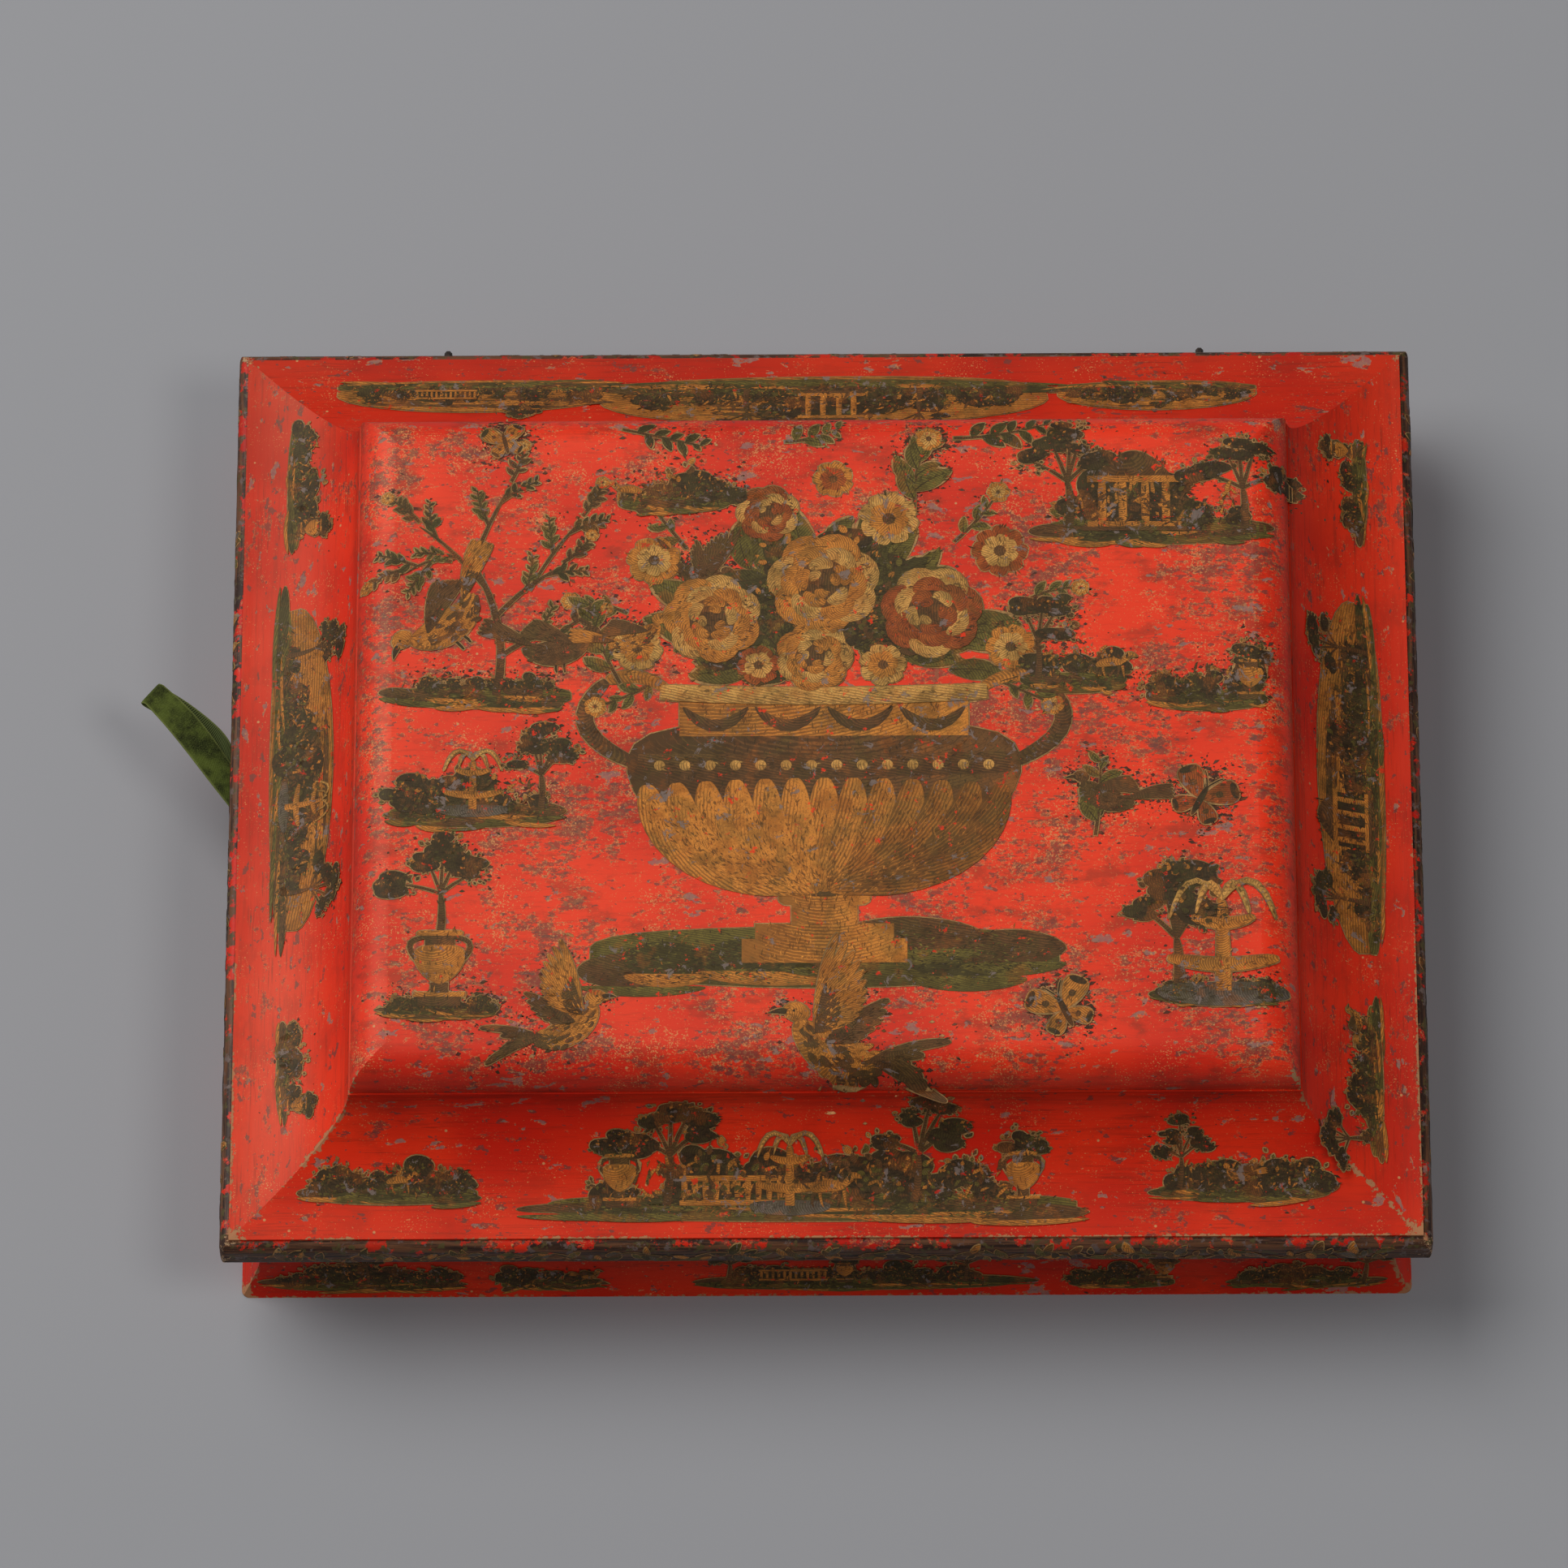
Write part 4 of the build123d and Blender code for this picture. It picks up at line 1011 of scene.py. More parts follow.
def ribbonRungs():
    # both edges and the thickness at each rung, from the box's tack to the lid's
    u = np.linspace(0, 1, ribbon["loopRungs"])
    thick = ribbon["nipped"] + (ribbon["pile"] - ribbon["nipped"]) * np.clip(u / 0.12, 0, 1)
    lower = ribbonStrand("lower", -1, ribbon["boxNip"], ribbon["sag"], u, thick)
    upper = ribbonStrand("upper", 1, ribbon["lidNip"], ribbon["rise"], u, thick)
    out = (lower[:, -1] - lower[:, -8]).sum(0)
    out /= np.linalg.norm(out)
    # close rungs in the middle of the fold, where it spans from the box to an opened lid
    side = np.linspace(math.pi / 2, 0.08, 8)[1:]
    angle = np.concatenate([-side, np.linspace(-0.05, 0.05, 13), side[::-1]])
    step = out[:2] * (np.cos(angle) * ribbon["foldRadius"] * ribbon["foldReach"])[:, None]
    height = foldZ + ribbon["foldRadius"] * np.sin(angle)
    fold = np.stack([np.column_stack([edge[-1, :2] + step, height]) for edge in lower])
    boxSide = [ribbonTail(ribbon["boxFace"], ribbon["boxNip"], "tack_box", 1),
               ribbonNipped(ribbon["boxFace"], ribbon["boxNip"])]
    lidSide = [ribbonNipped(ribbon["lidFace"], ribbon["lidNip"]),
               ribbonTail(ribbon["lidFace"], ribbon["lidNip"] + ribbon["lidTail"], "tack_lid", -1)]
    back = [part[:, ::-1] for part in (upper, *lidSide)]
    edges = np.concatenate([*boxSide, lower, fold, *back], axis=1)
    thin = np.full(ribbon["tailRungs"] + ribbon["nipRungs"], ribbon["nipped"])
    return *edges, np.concatenate([thin, thick, np.full(len(angle), ribbon["pile"]), thick[::-1], thin])


def makeRibbon():
    # each row is a flat oval: centre + across * cos + normal * thickness * sin, closed round the ribbon
    left, right, thick = ribbonRungs()
    centre, across = (left + right) / 2, (right - left) / 2
    run = np.gradient(centre, axis=0)
    run /= np.linalg.norm(run, axis=1)[:, None]
    normal = np.cross(run, across)
    normal /= np.linalg.norm(normal, axis=1)[:, None]
    rows, sides = len(centre), ribbon["sides"]
    angle = np.linspace(0, 2 * math.pi, sides, endpoint=False)
    wide = np.sign(np.cos(angle)) * abs(np.cos(angle)) ** 0.7
    deep = np.sign(np.sin(angle)) * abs(np.sin(angle)) ** 0.35 / 2
    points = centre[:, None] + across[:, None] * wide[None, :, None]
    points = points + normal[:, None] * (thick[:, None] * deep)[..., None]
    i, j = np.meshgrid(np.arange(rows - 1), np.arange(sides), indexing="ij")
    a, b = i * sides + j, i * sides + (j + 1) % sides
    faces = np.stack([a, a + sides, b + sides, b], -1).reshape(-1, 4).tolist()
    faces += [list(range(sides)), list(range((rows - 1) * sides, rows * sides))[::-1]]
    length = np.concatenate([[0], np.cumsum(np.linalg.norm(np.diff(centre, axis=0), axis=1))])
    weave = np.stack(np.broadcast_arrays(wide, length[:, None], np.sign(deep) * 0.5 + 0.5), -1)
    print("ribbon length", round(float(length[-1]), 1), "mm")
    return meshFrom("velvetRibbon", points / 1000, faces, weave=weave), length[-1]


velvet, ribbonLength = makeRibbon()
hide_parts("ribbon_stay")
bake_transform(velvet)

# The printed borders on the rim strips
border = {
    "repeat": 13.0,
    "endGap": 8,
    "sideGap": 6,
    "middle": 7.2,  # height of the stem up the strip
    "wave": 6.0,
    "low": 1.2,
    "high": 13.6,
    "leaves": ("olive", "umber", "ochre", "sepia", "moss", "slate"),
    "hingeX": 118,  # bare round the two hinges
    "hingeGap": 8,
}


def beadScroll(length, seed):
    # a running border: a waved stem with leaves and dabs thrown to either side
    rng = np.random.default_rng(seed)
    count = int((length - border["endGap"]) / border["repeat"])
    x = (np.arange(count) - (count - 1) / 2) * border["repeat"]
    up = np.where(np.arange(count) % 2 == 0, 1.0, -1.0)
    base, wide = np.stack([x, np.full(count, border["middle"])], 1), [border["repeat"] / 2, 0]
    made = [lenses("scrollStem", base, wide, 0.34, "umber", 2, rise=up * border["wave"])]
    for k, tint in enumerate(border["leaves"]):
        px, off = x + rng.uniform(-5.5, 5.5, count), rng.uniform(-1.0, 2.4, count)
        spot = np.stack([px, border["middle"] + up * off], 1)
        angle = rng.uniform(0, 2 * math.pi, count)
        size = rng.uniform(3.4, 6.4, count)
        bend, tip = toward(spot, angle + 0.5, size * 0.5), toward(spot, angle, size)
        tip[:, 1] = np.clip(tip[:, 1], border["low"], border["high"])
        tone = rng.uniform(0.35, 0.75, count)
        made.append(strokes("scrollLeaf", spot, bend, tip, size * 0.24, tint, 2.4 + k * 0.2, tone=tone))
    return np.concatenate(made)


for index, side in enumerate(("front", "back", "left", "right")):
    run = lid["halfWidth" if side in ("front", "back") else "halfDepth"] * 2 - border["sideGap"]
    rows = beadScroll(run, 70 + index)
    if side == "back":
        middle = (rows[:, 0] + rows[:, 4]) / 2
        rows = rows[abs(abs(middle) - border["hingeX"]) > border["hingeGap"]]
    lay = lambda u, v, lift: layOnSide("bead", side, u, v, lift * paper["beadStack"] + paper["beadLift"])
    cutOut(f"borderPrint{side.title()}", rows, lay, "lid")
print("border prints made")


# Shader values as plain sums: a Field is one output of a node in its tree
class Field:
    def __init__(self, tree, socket):
        self.tree = tree
        self.socket = socket

    def __add__(self, other):
        return calc("ADD", self, other)

    def __sub__(self, other):
        return calc("SUBTRACT", self, other)

    def __rsub__(self, other):
        return calc("SUBTRACT", other, self)

    def __mul__(self, other):
        return calc("MULTIPLY", self, other)

    def __abs__(self):
        return calc("ABSOLUTE", self)


def fill(tree, node, values):
    # numbers are set on the node's own sockets, and Fields are wired to them
    for key, value in values.items():
        if isinstance(value, Field):
            tree.links.new(value.socket, node.inputs[key])
        elif value is not None:
            node.inputs[key].default_value = value


def wired(tree, kind, values, output=0, **settings):
    node = tree.nodes.new("ShaderNode" + kind)
    for key, value in settings.items():
        setattr(node, key, value)
    fill(tree, node, values)
    return Field(tree, node.outputs[output])


def calc(operation, a, b=None):
    tree = a.tree if isinstance(a, Field) else b.tree
    return wired(tree, "Math", {0: a, 1: b}, operation=operation)


def larger(a, b):
    return calc("MAXIMUM", a, b)


def vectorCalc(operation, a, b):
    return wired(a.tree, "VectorMath", {0: a, 1: b}, operation=operation)


def over(tone, share, top, way="MIX"):
    # the top colour laid over the tone where the share is 1
    return wired(share.tree, "Mix", {0: share, 6: tone, 7: top}, 2, data_type="RGBA", blend_type=way)


def noise(at, scale, detail=3.0, roughness=0.5, distortion=0.0):
    values = {"Vector": at, "Scale": scale, "Detail": detail, "Roughness": roughness}
    values["Distortion"] = distortion
    return wired(at.tree, "TexNoise", values, "Fac")


def span(value, low, high, start=0.0, end=1.0):
    # start below low, end above high, and an eased slope between
    values = {"Value": value, "From Min": low, "From Max": high, "To Min": start, "To Max": end}
    return wired(value.tree, "MapRange", values, "Result", interpolation_type="SMOOTHSTEP")


def stretched(at, scale):
    return wired(at.tree, "Mapping", {"Vector": at, "Scale": scale}, "Vector")


def apart(vector):
    node = vector.tree.nodes.new("ShaderNodeSeparateXYZ")
    fill(vector.tree, node, {0: vector})
    return [Field(vector.tree, output) for output in node.outputs]


def newGroup(name, **inputs):
    # a node group and its inputs by name: a vector where None is given, else a colour or a number
    tree = bpy.data.node_groups.new(name, "ShaderNodeTree")
    for label, default in inputs.items():
        kind = "Vector" if default is None else "Color" if isinstance(default, tuple) else "Float"
        socket = tree.interface.new_socket(label, in_out="INPUT", socket_type="NodeSocket" + kind)
        if default is not None:
            socket.default_value = default
    entry = tree.nodes.new("NodeGroupInput")
    return tree, *[Field(tree, entry.outputs[label]) for label in inputs]


def closeGroup(tree, **outputs):
    # the group's outputs, each of its value's own kind
    kinds = {"VALUE": "Float", "RGBA": "Color", "VECTOR": "Vector"}
    for label, value in outputs.items():
        tree.interface.new_socket(label, in_out="OUTPUT", socket_type="NodeSocket" + kinds[value.socket.type])
    fill(tree, tree.nodes.new("NodeGroupOutput"), outputs)
    return tree


def useGroup(group, at, **values):
    # one use of a group with its own values; its outputs by name
    node = at.tree.nodes.new("ShaderNodeGroup")
    node.node_tree = group
    fill(at.tree, node, {"Position": at, **values})
    return {output.name: Field(at.tree, output) for output in node.outputs}


def boxPlaceGroup():
    # how far in from the rim a point lies, how far from a mitre line, its height and its depth, in mm
    group, at = newGroup("Box Place", Position=None)
    x, y, z = apart(at)
    sideGap, frontGap = lid["halfWidth"] - abs(x), lid["halfDepth"] - abs(y)
    mitre = abs(sideGap - frontGap) * math.sqrt(0.5)
    return closeGroup(group, Inset=calc("MINIMUM", sideGap, frontGap), Mitre=mitre, Height=z, Depth=y)


lacquerLook = {
    "red": color(226, 44, 12),
    "deepRed": color(200, 24, 5),
    "gloss": (1.0, 0.9, 0.62, 1),
    # painted light and shade: the red is scaled paler up the slopes towards the fold, darker at the rim and
    # on the walls, and darker towards the back of the lid
    "rimOrRail": (46.0, 66.0, 0.9, 1.12),  # the slopes are a little paler towards the fold than at the rim
    "backward": (98.0, 122.0, 1.0, 0.82),  # and the back of the lid is darker
}
lacquerLayers = {  # where its mask starts and is full, how much it covers (None: worked out), its colour
    "streak": (0.5, 0.72, 0.3, color(104, 30, 16)),
    "soot": (0.56, 0.7, None, color(58, 20, 12)),
    "stain": (0.5, 0.66, 0.36, color(104, 30, 16)),
    "tanRim": (0.538, 0.552, None, color(214, 142, 84)),
    "mottle": (0.555, 0.592, 0.72, color(102, 50, 44)),
    "spot": (0.71, 0.74, 0.75, color(98, 54, 50)),
    "lossRim": (0.71, 0.72, 0.5, color(200, 146, 94)),
    "loss": (0.724, 0.74, 0.75, color(136, 102, 98)),
    "fleck": (0.86, 0.9, 0.75, color(214, 142, 84)),
    "dot": (0.06, 0.035, 0.8, color(200, 146, 94)),
    # fold: painted shade in the crease under the panel
    "fold": (4.0, 0.0, None, color(58, 20, 12)),
    "chip": (0.715, 0.74, 0.85, color(164, 124, 86)),
}


def agedLacquerGroup(boxPlace):
    # vermilion varnish, with painted light and shade by height and towards the back: streaks along the grain,
    # mottled dirt, losses, flecks, a painted shade line in the fold, and rubbed edges
    look = lacquerLook
    group, at, grain, wear, soil = newGroup("Aged Lacquer", Position=None, Grain=None, Wear=1.0, Soil=1.0)
    place = useGroup(boxPlace, at)
    inset, mitre, height, depth = (place[name] for name in ("Inset", "Mitre", "Height", "Depth"))
    shifted = vectorCalc("ADD", at, (37.0, 11.0, 5.0))
    half = (0.5, 0.5, 0.5)
    drawnOut = vectorCalc("ADD", vectorCalc("MULTIPLY", at, half), vectorCalc("MULTIPLY", grain, half))

    def mask(name, value):
        return span(value, *lacquerLayers[name][:2])

    def covered(tone, name, share, amount=None):
        most, colour = lacquerLayers[name][2:]
        return over(tone, share * (most if amount is None else amount), colour)

    broad = noise(at, 0.016, 2, 0.6)
    crowd = noise(shifted, 0.034, 3, 0.6)
    grit = noise(at, 0.9, 3, 0.7)
    tone = over(look["red"], span(broad, 0.36, 0.66), look["deepRed"])
    # painted light and shade: paler high up, darker low down and towards the back
    lift = span(height, *look["rimOrRail"]) * span(depth, *look["backward"])
    tone = wired(group, "VectorMath", {0: tone, "Scale": lift}, operation="SCALE")
    tone = covered(tone, "streak", mask("streak", noise(grain, 0.6, 4, 0.7, 0.2)))
    sooty = span(crowd, 0.42, 0.6) * 0.4
    tone = covered(tone, "soot", mask("soot", noise(grain, 1.6, 2, 0.6)), sooty)
    tone = covered(tone, "stain", mask("stain", noise(drawnOut, 0.12, 5, 0.66)) * soil)
    # dirt that lies in fine ragged patches where the crowd is high, each with a broken tan rim;
    # the rounded edge of the panel is cleaner than its top
    drift = (crowd - 0.5) * 0.5 + (soil - 1.2) * 0.1
    onRound = span(height, 83.5, 78.0, 0.0, 0.09) * span(height, 68.0, 70.0)
    patchy = noise(drawnOut, 0.3, 8, 0.76) + (drift - onRound)
    tanRim = mask("tanRim", patchy) * span(grit, 0.5, 0.56)
    tone = covered(tone, "tanRim", tanRim, span(soil, 0.4, 1.2, 0.25, 0.6))
    tone = covered(tone, "mottle", mask("mottle", patchy))
    tone = covered(tone, "spot", mask("spot", noise(drawnOut, 0.4, 3, 0.6) + crowd * (wear * 0.16)))
    # losses down to the ground, each with a broken pale rim
    blots = noise(drawnOut, 0.2, 4, 0.6, 0.3) + broad * (wear * 0.14)
    tone = covered(tone, "lossRim", mask("lossRim", blots) * span(grit, 0.46, 0.54))
    loss = mask("loss", blots)
    tone = covered(tone, "loss", loss)
    # pale flecks in swarms, and a few single dots
    flecks = noise(at, 1.7, 3, 0.66) + noise(shifted, 0.07, 3, 0.65) * (wear * 0.4)
    tone = covered(tone, "fleck", mask("fleck", flecks))
    dots = wired(group, "TexVoronoi", {"Vector": at, "Scale": 0.11}, "Distance", feature="F1")
    tone = covered(tone, "dot", mask("dot", dots))
    # a soft painted shade line in the fold under the panel
    foldShadeMask = mask("fold", abs(inset - (lid["coveWidth"] + 0.2))) * span(height, 60.0, 68.0)
    tone = covered(tone, "fold", foldShadeMask, span(noise(grain, 0.5, 3, 0.6), 0.3, 0.7, 0.05, 0.4))
    # edges rubbed through: the rim arris in places, the mitres in front, the lower corners most
    arris = span(abs(inset), 1.6, 0.0) * span(height, 46.0, 47.5)
    foot = span(height, 1.6, 0.0) * 0.8
    alongMitre = span(mitre, 2.4, 0.0) * span(inset, 44.0, 38.0)
    corner = span(mitre, 5.0, 0.0) * span(inset, 5.0, 0.5)
    near = larger(larger(arris, foot), alongMitre)
    rubbed = near * span(noise(shifted, 0.03, 3, 0.6), 0.38, 0.56, 0.1, 0.29) + corner * 0.24
    rub = noise(at, 0.5, 5, 0.7) + span(depth, 60.0, -60.0, 0.35, 1.0) * rubbed
    edge = mask("chip", rub) * wear * span(larger(near, corner), 0.1, 0.3)
    tone = covered(tone, "chip", edge)
    bare = larger(loss, edge)
    rough = span(broad, 0.3, 0.7, 0.5, 0.58) + bare * 0.2
    return closeGroup(group, Color=tone, Roughness=rough, Height=noise(grain, 0.3, 3, 0.5) * 0.6 - bare * 0.5)


boxPlace = boxPlaceGroup()
agedLacquer = agedLacquerGroup(boxPlace)


def newMaterial(name):
    # a material with one Principled BSDF, and the point on the piece in millimetres
    material = bpy.data.materials.new(name)
    material.use_nodes = True
    tree = material.node_tree
    tree.nodes.clear()
    shader = tree.nodes.new("ShaderNodeBsdfPrincipled")
    out = tree.nodes.new("ShaderNodeOutputMaterial")
    tree.links.new(shader.outputs[0], out.inputs[0])
    return material, vectorCalc("MULTIPLY", wired(tree, "TexCoord", {}, "Object"), (1000.0, 1000.0, 1000.0))


def coated(material, tone, roughness, normal=None, sheen=None, **more):
    # the shader's own sockets; sheen is the strength of the plain reflection
    values = {"Base Color": tone, "Roughness": roughness, "Normal": normal, "Specular IOR Level": sheen}
    values |= {label.replace("_", " "): value for label, value in more.items()}
    fill(material.node_tree, material.node_tree.nodes["Principled BSDF"], values)
    return material


def bump(height, distance, strength):
    values = {"Height": height, "Distance": distance, "Strength": strength}
    return wired(height.tree, "Bump", values, "Normal")


def attribute(tree, name, output="Vector"):
    return wired(tree, "Attribute", {}, output, attribute_name=name)


def lacquer(name, stretch, wear, soil, sheen):
    material, at = newMaterial(name)
    under = useGroup(agedLacquer, at, Grain=stretched(at, stretch), Wear=wear, Soil=soil)
    tone, roughness, normal = under["Color"], under["Roughness"], bump(under["Height"], 0.00025, 0.7)
    return coated(material, tone, roughness, normal, sheen, Specular_Tint=lacquerLook["gloss"])


grainX, grainY, panelGrain = (0.05, 1.0, 1.0), (1.0, 0.05, 1.0), (0.12, 1.0, 1.0)
finish = {  # grain, wear, soil, sheen
    "lacquerAlongX": lacquer("lacquerAlongX", grainX, 1.0, 0.5, 0.32),
    "lacquerAlongY": lacquer("lacquerAlongY", grainY, 1.0, 0.6, 0.46),
    "lacquerPanel": lacquer("lacquerPanel", panelGrain, 1.2, 1.3, 0.6),
}

printLook = {
    "ink": color(42, 29, 21),
    "oliveWash": color(86, 78, 34),
    "goldWash": color(188, 104, 38),
    "soil": (0.42, 0.36, 0.3, 1),
    "rubbed": color(122, 106, 100),
    "outline": 0.15,  # width of the line round a stroke, in mm
}


def engravedGroup():
    # ink lines where a saw wave of the hatch phase rises over the tone, along edges and as fine grit;
    # washes of olive and gold drift over the tint
    group, at, tint, gap, phase, tone = newGroup(
        "Engraved Print", Position=None, Tint=(0.8, 0.8, 0.8, 1.0), Gap=1.0, Phase=0.0, Tone=0.5)
    wobble = (noise(at, 0.4, 2) - 0.5) * 0.7
    wave = abs(calc("FRACT", phase + wobble) - 0.5) * 2.0
    patch = noise(at, 0.16, 4, 0.66)
    hatch = span(wave - (tone + (patch - 0.5) * 0.9), -0.1, 0.1)
    outline = span(gap + wobble * 0.15, printLook["outline"] * 1.5, printLook["outline"] * 0.5)
    grit = span(noise(at, 1.5, 3, 0.7), 0.53, 0.62) * 0.5
    ink = larger(larger(hatch * 0.62, grit), outline * 0.6)
    drift = noise(vectorCalc("ADD", at, (5.0, 70.0, 3.0)), 0.1, 4, 0.62)
    wash = over(tint, span(drift, 0.5, 0.6, 0.0, 0.34), printLook["oliveWash"])
    wash = over(wash, span(drift, 0.46, 0.38, 0.0, 0.3), printLook["goldWash"])
    wash = over(wash, span(patch, 0.44, 0.62, 0.0, 0.6), printLook["soil"], "MULTIPLY")
    return closeGroup(group, Color=over(wash, ink * 0.9, printLook["ink"]))


def paperPrint():
    # the print, darkened by old varnish, and rubbed through to the lacquer or to its grey ground
    material, at = newMaterial("paperPrint")
    gap, phase, tone = apart(attribute(at.tree, "print"))
    tint = attribute(at.tree, "tint", "Color")
    drawn = useGroup(engravedGroup(), at, Tint=tint, Gap=gap, Phase=phase, Tone=tone)
    under = useGroup(agedLacquer, at, Grain=stretched(at, panelGrain), Wear=1.0, Soil=1.2)
    rubbed = span(noise(at, 0.24, 7, 0.72, 0.6) + noise(at, 0.03, 2) * 0.12, 0.66, 0.68)
    through = span(noise(vectorCalc("ADD", at, (91.0, 17.0, 3.0)), 0.3, 7, 0.7), 0.62, 0.65)
    toned = over(drawn["Color"], rubbed * 0.8, printLook["rubbed"])
    toned = over(toned, through * 0.85, under["Color"])
    normal = bump(under["Height"] - rubbed * 0.4, 0.0002, 0.6)
    return coated(material, toned, under["Roughness"] + 0.06, normal, 0.4, Specular_Tint=lacquerLook["gloss"])


def agedSurfaceGroup():
    # broad stains, foxing or rust spots, and fine wear, for any bare material
    plain = (0.8, 0.8, 0.8, 1.0)
    group, position, base, stainTint, spotTint, amount, size = newGroup(
        "Aged Surface", Position=None, Color=plain, Stain=plain, Spot=plain, Amount=1.0, Size=1.0)
    at = vectorCalc("DIVIDE", position, size)
    stain = span(noise(at, 0.03, 6, 0.65), 0.42, 0.68)
    spot = span(noise(at, 0.4, 5, 0.7), 0.62, 0.7)
    tone = over(base, stain * (amount * 0.6), stainTint)
    tone = over(tone, spot * (amount * 0.8), spotTint)
    return closeGroup(group, Color=tone, Mask=larger(stain, spot))


agedSurface = agedSurfaceGroup()


def agedTone(at, tone, look, amount, size):
    stain, spot = look["stain"], look["spot"]
    return useGroup(agedSurface, at, Color=tone, Stain=stain, Spot=spot, Amount=amount, Size=size)


stripLook = {
    "dark": color(46, 28, 20),
    "light": color(104, 66, 42),
    "olive": color(80, 68, 36),
    # rubbed: grey of rubbed paper, which also stands for a painted sheen
    "rubbed": color(102, 84, 78),
    "under": color(48, 28, 20),
    "chip": color(176, 140, 104),
}


def borderStrip(name, stretch):
    # a dark printed paper strip over red, worn through in patches, grey in patches where it is rubbed and
    # where a sheen is painted, darker under its lower curve and chipped there and at the corners
    look = stripLook
    material, at = newMaterial(name)
    grain = stretched(at, stretch)
    under = useGroup(agedLacquer, at, Grain=grain, Wear=1.0, Soil=1.0)
    place = useGroup(boxPlace, at)
    ragged = noise(at, 0.14, 5, 0.66)
    papered = span(place["Height"] + (ragged - 0.5) * 30.0, 49.0, 47.6)
    shade = over(look["dark"], span(noise(grain, 0.7, 5, 0.7), 0.4, 0.6), look["light"])
    shade = over(shade, span(noise(at, 0.32, 4, 0.6), 0.55, 0.62), look["olive"])
    # grey patches: partly rubbed paper, partly a painted sheen
    rubbed = noise(vectorCalc("ADD", at, (9.0, 4.0, 7.0)), 0.3, 5, 0.7)
    shade = over(shade, span(rubbed, 0.56, 0.62), look["rubbed"])
    shade = over(shade, span(place["Height"], 41.0, 36.5, 0.0, 0.75), look["under"])
    tone = over(under["Color"], papered, shade)
    lowEdge, corner = span(place["Height"], 37.6, 34.9, 0.0, 0.16), span(place["Mitre"], 5.0, 0.0) * 0.22
    chip = span(noise(at, 0.5, 5, 0.7) + lowEdge + corner, 0.74, 0.77)
    normal = bump(ragged * 1.2 - chip, 0.0003, 0.8)
    return coated(material, over(tone, chip, look["chip"]), under["Roughness"], normal, 0.3)


pineLook = {
    "early": color(182, 146, 98),
    "late": color(150, 112, 70),
    "pore": color(96, 66, 38),
    "stain": color(92, 70, 48),
    "spot": color(54, 38, 26),
}


def barePine():
    # long grain: stretched noise for the rings, finer streaks for pores, saw marks across
    material, at = newMaterial("barePine")
    rings = noise(stretched(at, (0.012, 0.11, 0.11)), 1.0, 4, 0.55, 1.2)
    dark = span(abs(calc("FRACT", rings * 14.0) - 0.5), 0.12, 0.46)
    pores = span(noise(stretched(at, (0.06, 2.0, 2.0)), 1.0, 3, 0.6), 0.55, 0.75)
    saw = noise(stretched(at, (0.7, 0.03, 0.03)), 1.0, 2, 0.5)
    wood = over(over(pineLook["late"], dark, pineLook["early"]), pores * 0.45, pineLook["pore"])
    aged = agedTone(at, wood, pineLook, 0.9, 1.4)
    return coated(material, aged["Color"], 0.78, bump(dark * 0.4 + (saw + pores * -0.6), 0.0003, 0.6))


liningLook = {
    "sheet": color(206, 190, 158),
    "chain": color(180, 160, 124),
    "stain": color(160, 128, 84),
    "spot": color(122, 84, 48),
    "wireGap": 0.9,  # mm
    "chainGap": 24.0,
}


def liningPaper():
    # laid paper: fine wire lines close together, chain lines far apart, broad stains and foxing
    look = liningLook
    material, at = newMaterial("liningPaper")
    x, y, z = apart(at)
    wires = calc("SINE", (y + z) * (2 * math.pi / look["wireGap"]))
    chain = calc("SINE", x * (2 * math.pi / look["chainGap"]))
    base = over(look["sheet"], span(chain, 0.96, 1.0, 0.0, 0.3), look["chain"])
    aged = agedTone(at, base, look, 0.75, 1.2)
    return coated(material, aged["Color"], 0.88, bump(wires * 0.12 + noise(at, 0.25, 5), 0.0002, 0.5))


metals = {
    "iron": {"name": "wroughtIron", "base": color(62, 56, 52), "stain": color(84, 52, 34),
             "spot": color(120, 70, 40), "metallic": 0.85, "roughness": 0.45},
    "brass": {"name": "dullBrass", "base": color(158, 122, 60), "stain": color(92, 70, 40),
              "spot": color(70, 62, 40), "metallic": 0.95, "roughness": 0.32},
}


def agedMetal(look):
    # bright metal under dull stains and spots
    material, at = newMaterial(look["name"])
    aged = agedTone(at, look["base"], look, 1.0, 0.25)
    metallic = (1.0 - aged["Mask"] * 0.7) * look["metallic"]
    roughness = aged["Mask"] * 0.35 + look["roughness"]
    normal = bump(noise(at, 1.6, 4, 0.6), 0.0001, 0.7)
    return coated(material, aged["Color"], roughness, normal, Metallic=metallic)


velvetLook = {
    "deep": color(28, 32, 8),
    "worn": color(72, 82, 30),
    "tuft": color(112, 124, 62),
    "satinDeep": color(40, 46, 18),
    "satin": color(80, 90, 50),
    "selvedge": color(120, 128, 70),
    "sheen": color(170, 190, 110),
    "ribGap": 0.8,  # mm
}


def velvetPile():
    # the pile darkens and lightens along the ribbon; the back is a ribbed satin
    look = velvetLook
    material, at = newMaterial("velvetPile")
    across, along, onPile = apart(attribute(at.tree, "weave"))
    pile = over(look["deep"], span(noise(at, 0.16, 4, 0.6), 0.35, 0.65), look["worn"])
    tuft = noise(at, 3.5, 3, 0.7)
    pile = over(pile, span(tuft, 0.45, 0.65) * 0.3, look["tuft"])
    ribs = calc("SINE", along * (2 * math.pi / look["ribGap"]))
    satin = over(look["satinDeep"], span(ribs, -0.4, 0.6), look["satin"])
    tone = over(over(satin, onPile, pile), span(abs(across), 0.84, 0.98) * 0.5, look["selvedge"])
    return coated(material, tone, 0.85, bump(tuft + ribs * 0.15, 0.0002, 0.8), 0.15,
                  Sheen_Weight=0.35, Sheen_Roughness=0.4, Sheen_Tint=look["sheen"])


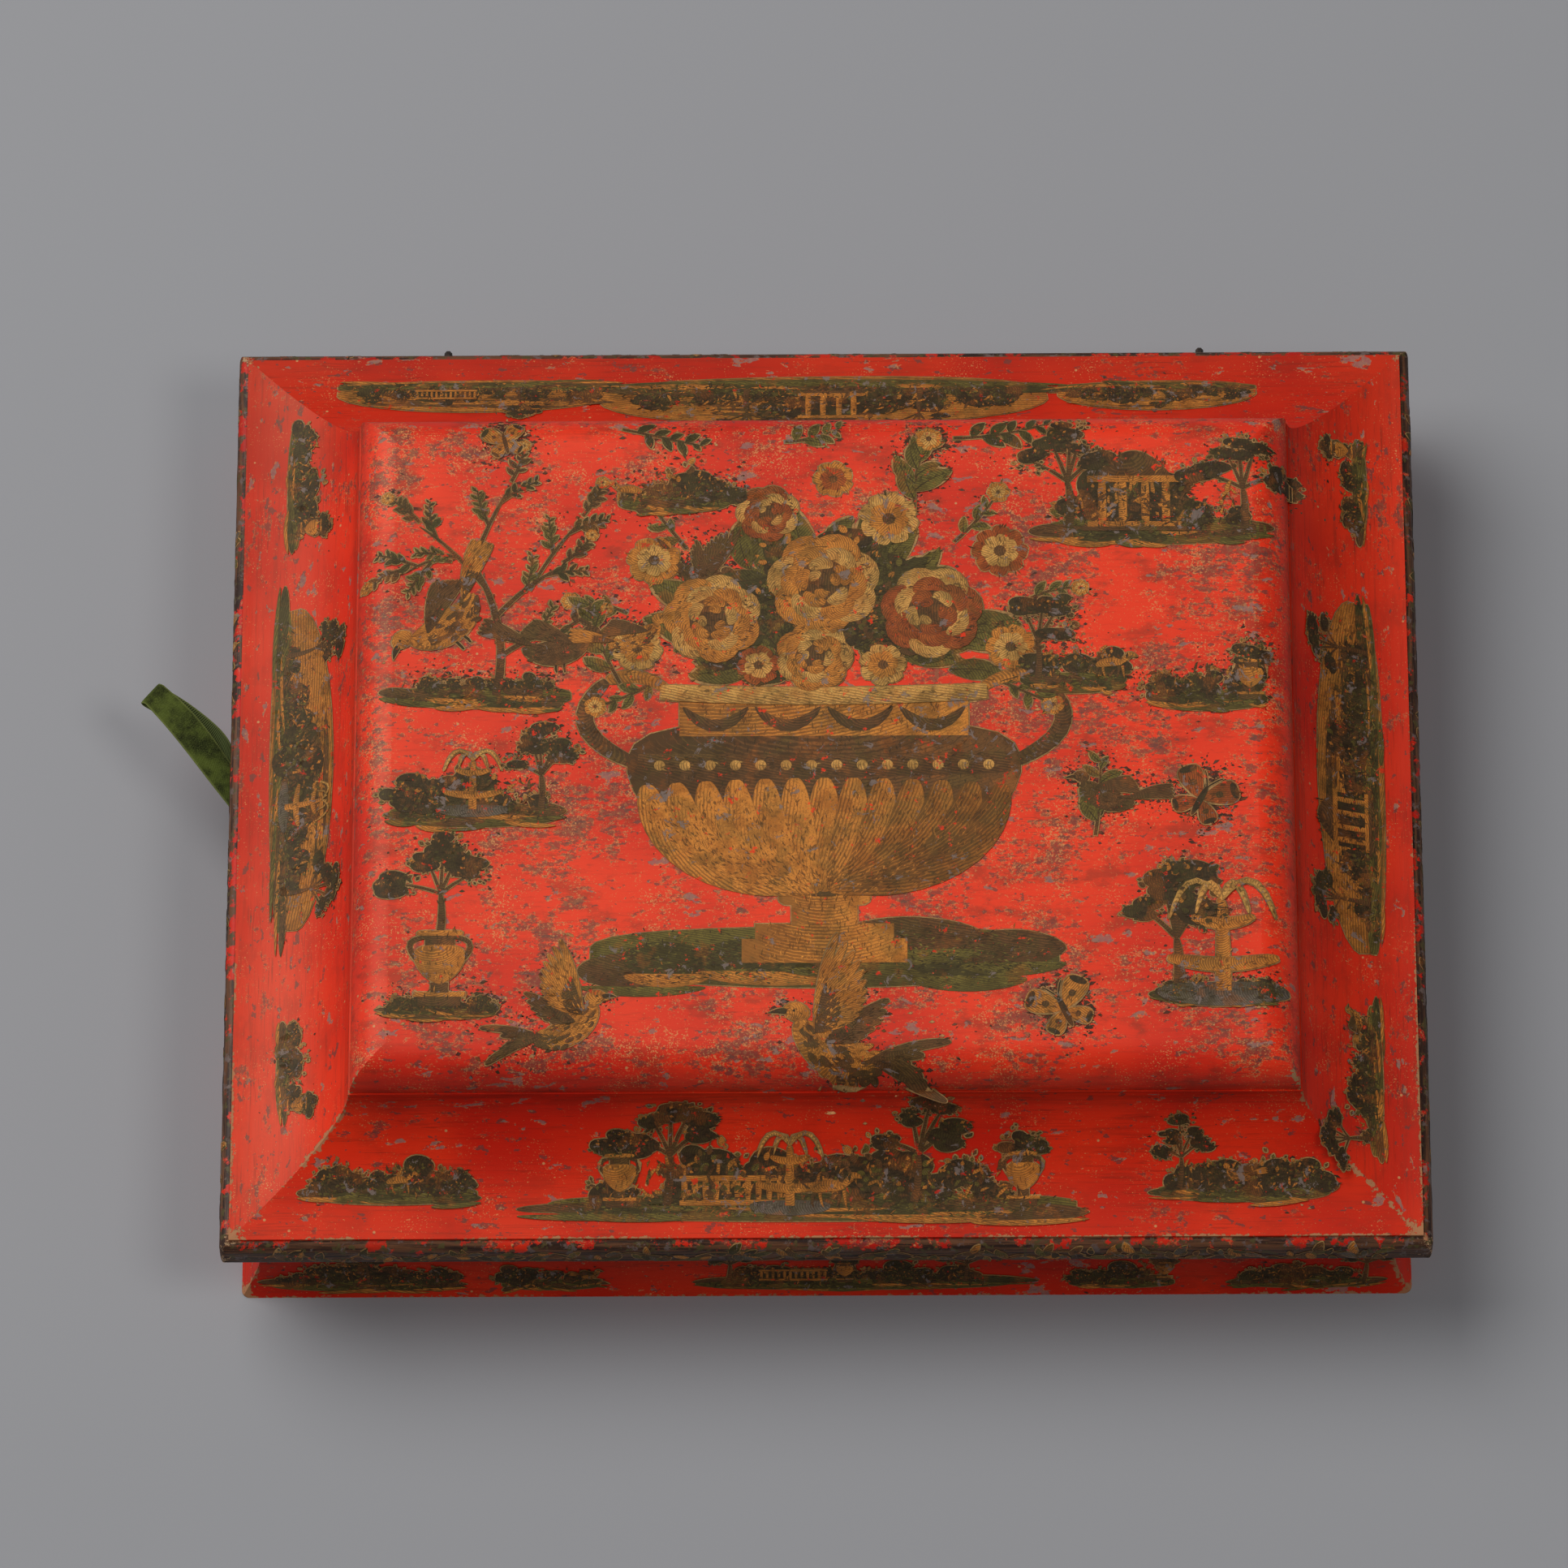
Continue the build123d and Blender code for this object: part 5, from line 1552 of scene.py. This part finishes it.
finish |= {
    "borderAlongX": borderStrip("borderAlongX", grainX),
    "borderAlongY": borderStrip("borderAlongY", grainY),
    "barePine": barePine(),
    "liningPaper": liningPaper(),
    "iron": agedMetal(metals["iron"]),
    "brass": agedMetal(metals["brass"]),
    "velvet": velvetPile(),
    "paperPrint": paperPrint(),
}
for obj in cutOuts:
    obj.data.materials.append(finish["paperPrint"])
velvet.data.materials.append(finish["velvet"])


def finishFor(name):
    # which finish a CAD node takes, by what it is
    alongY = name.endswith(("_left", "_right"))
    if name.startswith("lid_edge"):
        return "borderAlongY" if alongY else "borderAlongX"
    if name == "lid_panel":
        return "lacquerPanel"
    if name == "box_bottom":
        return "barePine"
    if "lining" in name:
        return "liningPaper"
    if "nail" in name or "hinge" in name:
        return "iron"
    if name.startswith("tack"):
        return "brass"
    return "lacquerAlongY" if alongY else "lacquerAlongX"


for name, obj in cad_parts.items():
    obj.data.materials.clear()
    obj.data.materials.append(finish[finishFor(name)])
print("materials:", len(finish))

# Camera, light and floor
camera = {
    "yaw": 0.96,
    "pitch": 64.14,
    "roll": -1.11,
    "distance": 3.41,
    "target": (-0.0125, 0.0018, 0.048),
    "lens": 254.9,
}
lamps = {
    "keyLight": {"place": (-1.5, 0.9, 2.3), "size": 2.6, "power": 66, "tint": (1.0, 0.985, 0.96)},
    "topLight": {"place": (1.1, -0.8, 2.4), "size": 0.9, "power": 15, "tint": (1.0, 0.97, 0.92)},
}
lampAim = Vector((0, 0, 0.03))
studio = {"sky": (0.9, 0.93, 1.0, 1), "skyStrength": 0.16, "floorHalf": 6, "floor": color(153, 154, 158)}


def placed(name, data):
    obj = bpy.data.objects.new(name, data)
    bpy.context.scene.collection.objects.link(obj)
    return obj


def makeCamera():
    # round the target by yaw and pitch, then rolled about the line of sight
    yaw, pitch, roll = (math.radians(camera[k]) for k in ("yaw", "pitch", "roll"))
    right = Vector((math.cos(yaw), math.sin(yaw), 0))
    back = Vector((math.sin(yaw) * math.cos(pitch), -math.cos(yaw) * math.cos(pitch), math.sin(pitch)))
    up = back.cross(right)
    across = right * math.cos(roll) + up * math.sin(roll)
    upward = up * math.cos(roll) - right * math.sin(roll)
    data = bpy.data.cameras.new("camera")
    data.lens, data.sensor_width, data.sensor_fit = camera["lens"], 36.0, "HORIZONTAL"
    obj = placed("camera", data)
    turn = Matrix((across, upward, back)).transposed().to_4x4()
    obj.matrix_world = Matrix.Translation(Vector(camera["target"]) + back * camera["distance"]) @ turn
    bpy.context.scene.camera = obj


makeCamera()
for name, lamp in lamps.items():
    light = bpy.data.lights.new(name, "AREA")
    light.shape, light.size, light.energy, light.color = "DISK", lamp["size"], lamp["power"], lamp["tint"]
    obj = placed(name, light)
    obj.location = lamp["place"]
    obj.rotation_mode = "QUATERNION"
    obj.rotation_quaternion = (lampAim - Vector(lamp["place"])).to_track_quat("-Z", "Y")
    obj.visible_glossy = name != "topLight"  # it only fills the front
world = bpy.data.worlds.new("studio")
bpy.context.scene.world = world
world.use_nodes = True
world.node_tree.nodes["Background"].inputs[0].default_value = studio["sky"]
world.node_tree.nodes["Background"].inputs[1].default_value = studio["skyStrength"]
bpy.context.scene.view_settings.view_transform = "Standard"

corners = np.array([(-1, -1, 0), (1, -1, 0), (1, 1, 0), (-1, 1, 0)], float)
floor = meshFrom("floor", corners * studio["floorHalf"], [(0, 1, 2, 3)])
floor.data.materials.append(coated(newMaterial("floorPaper")[0], studio["floor"], 0.9))
print("studio set")
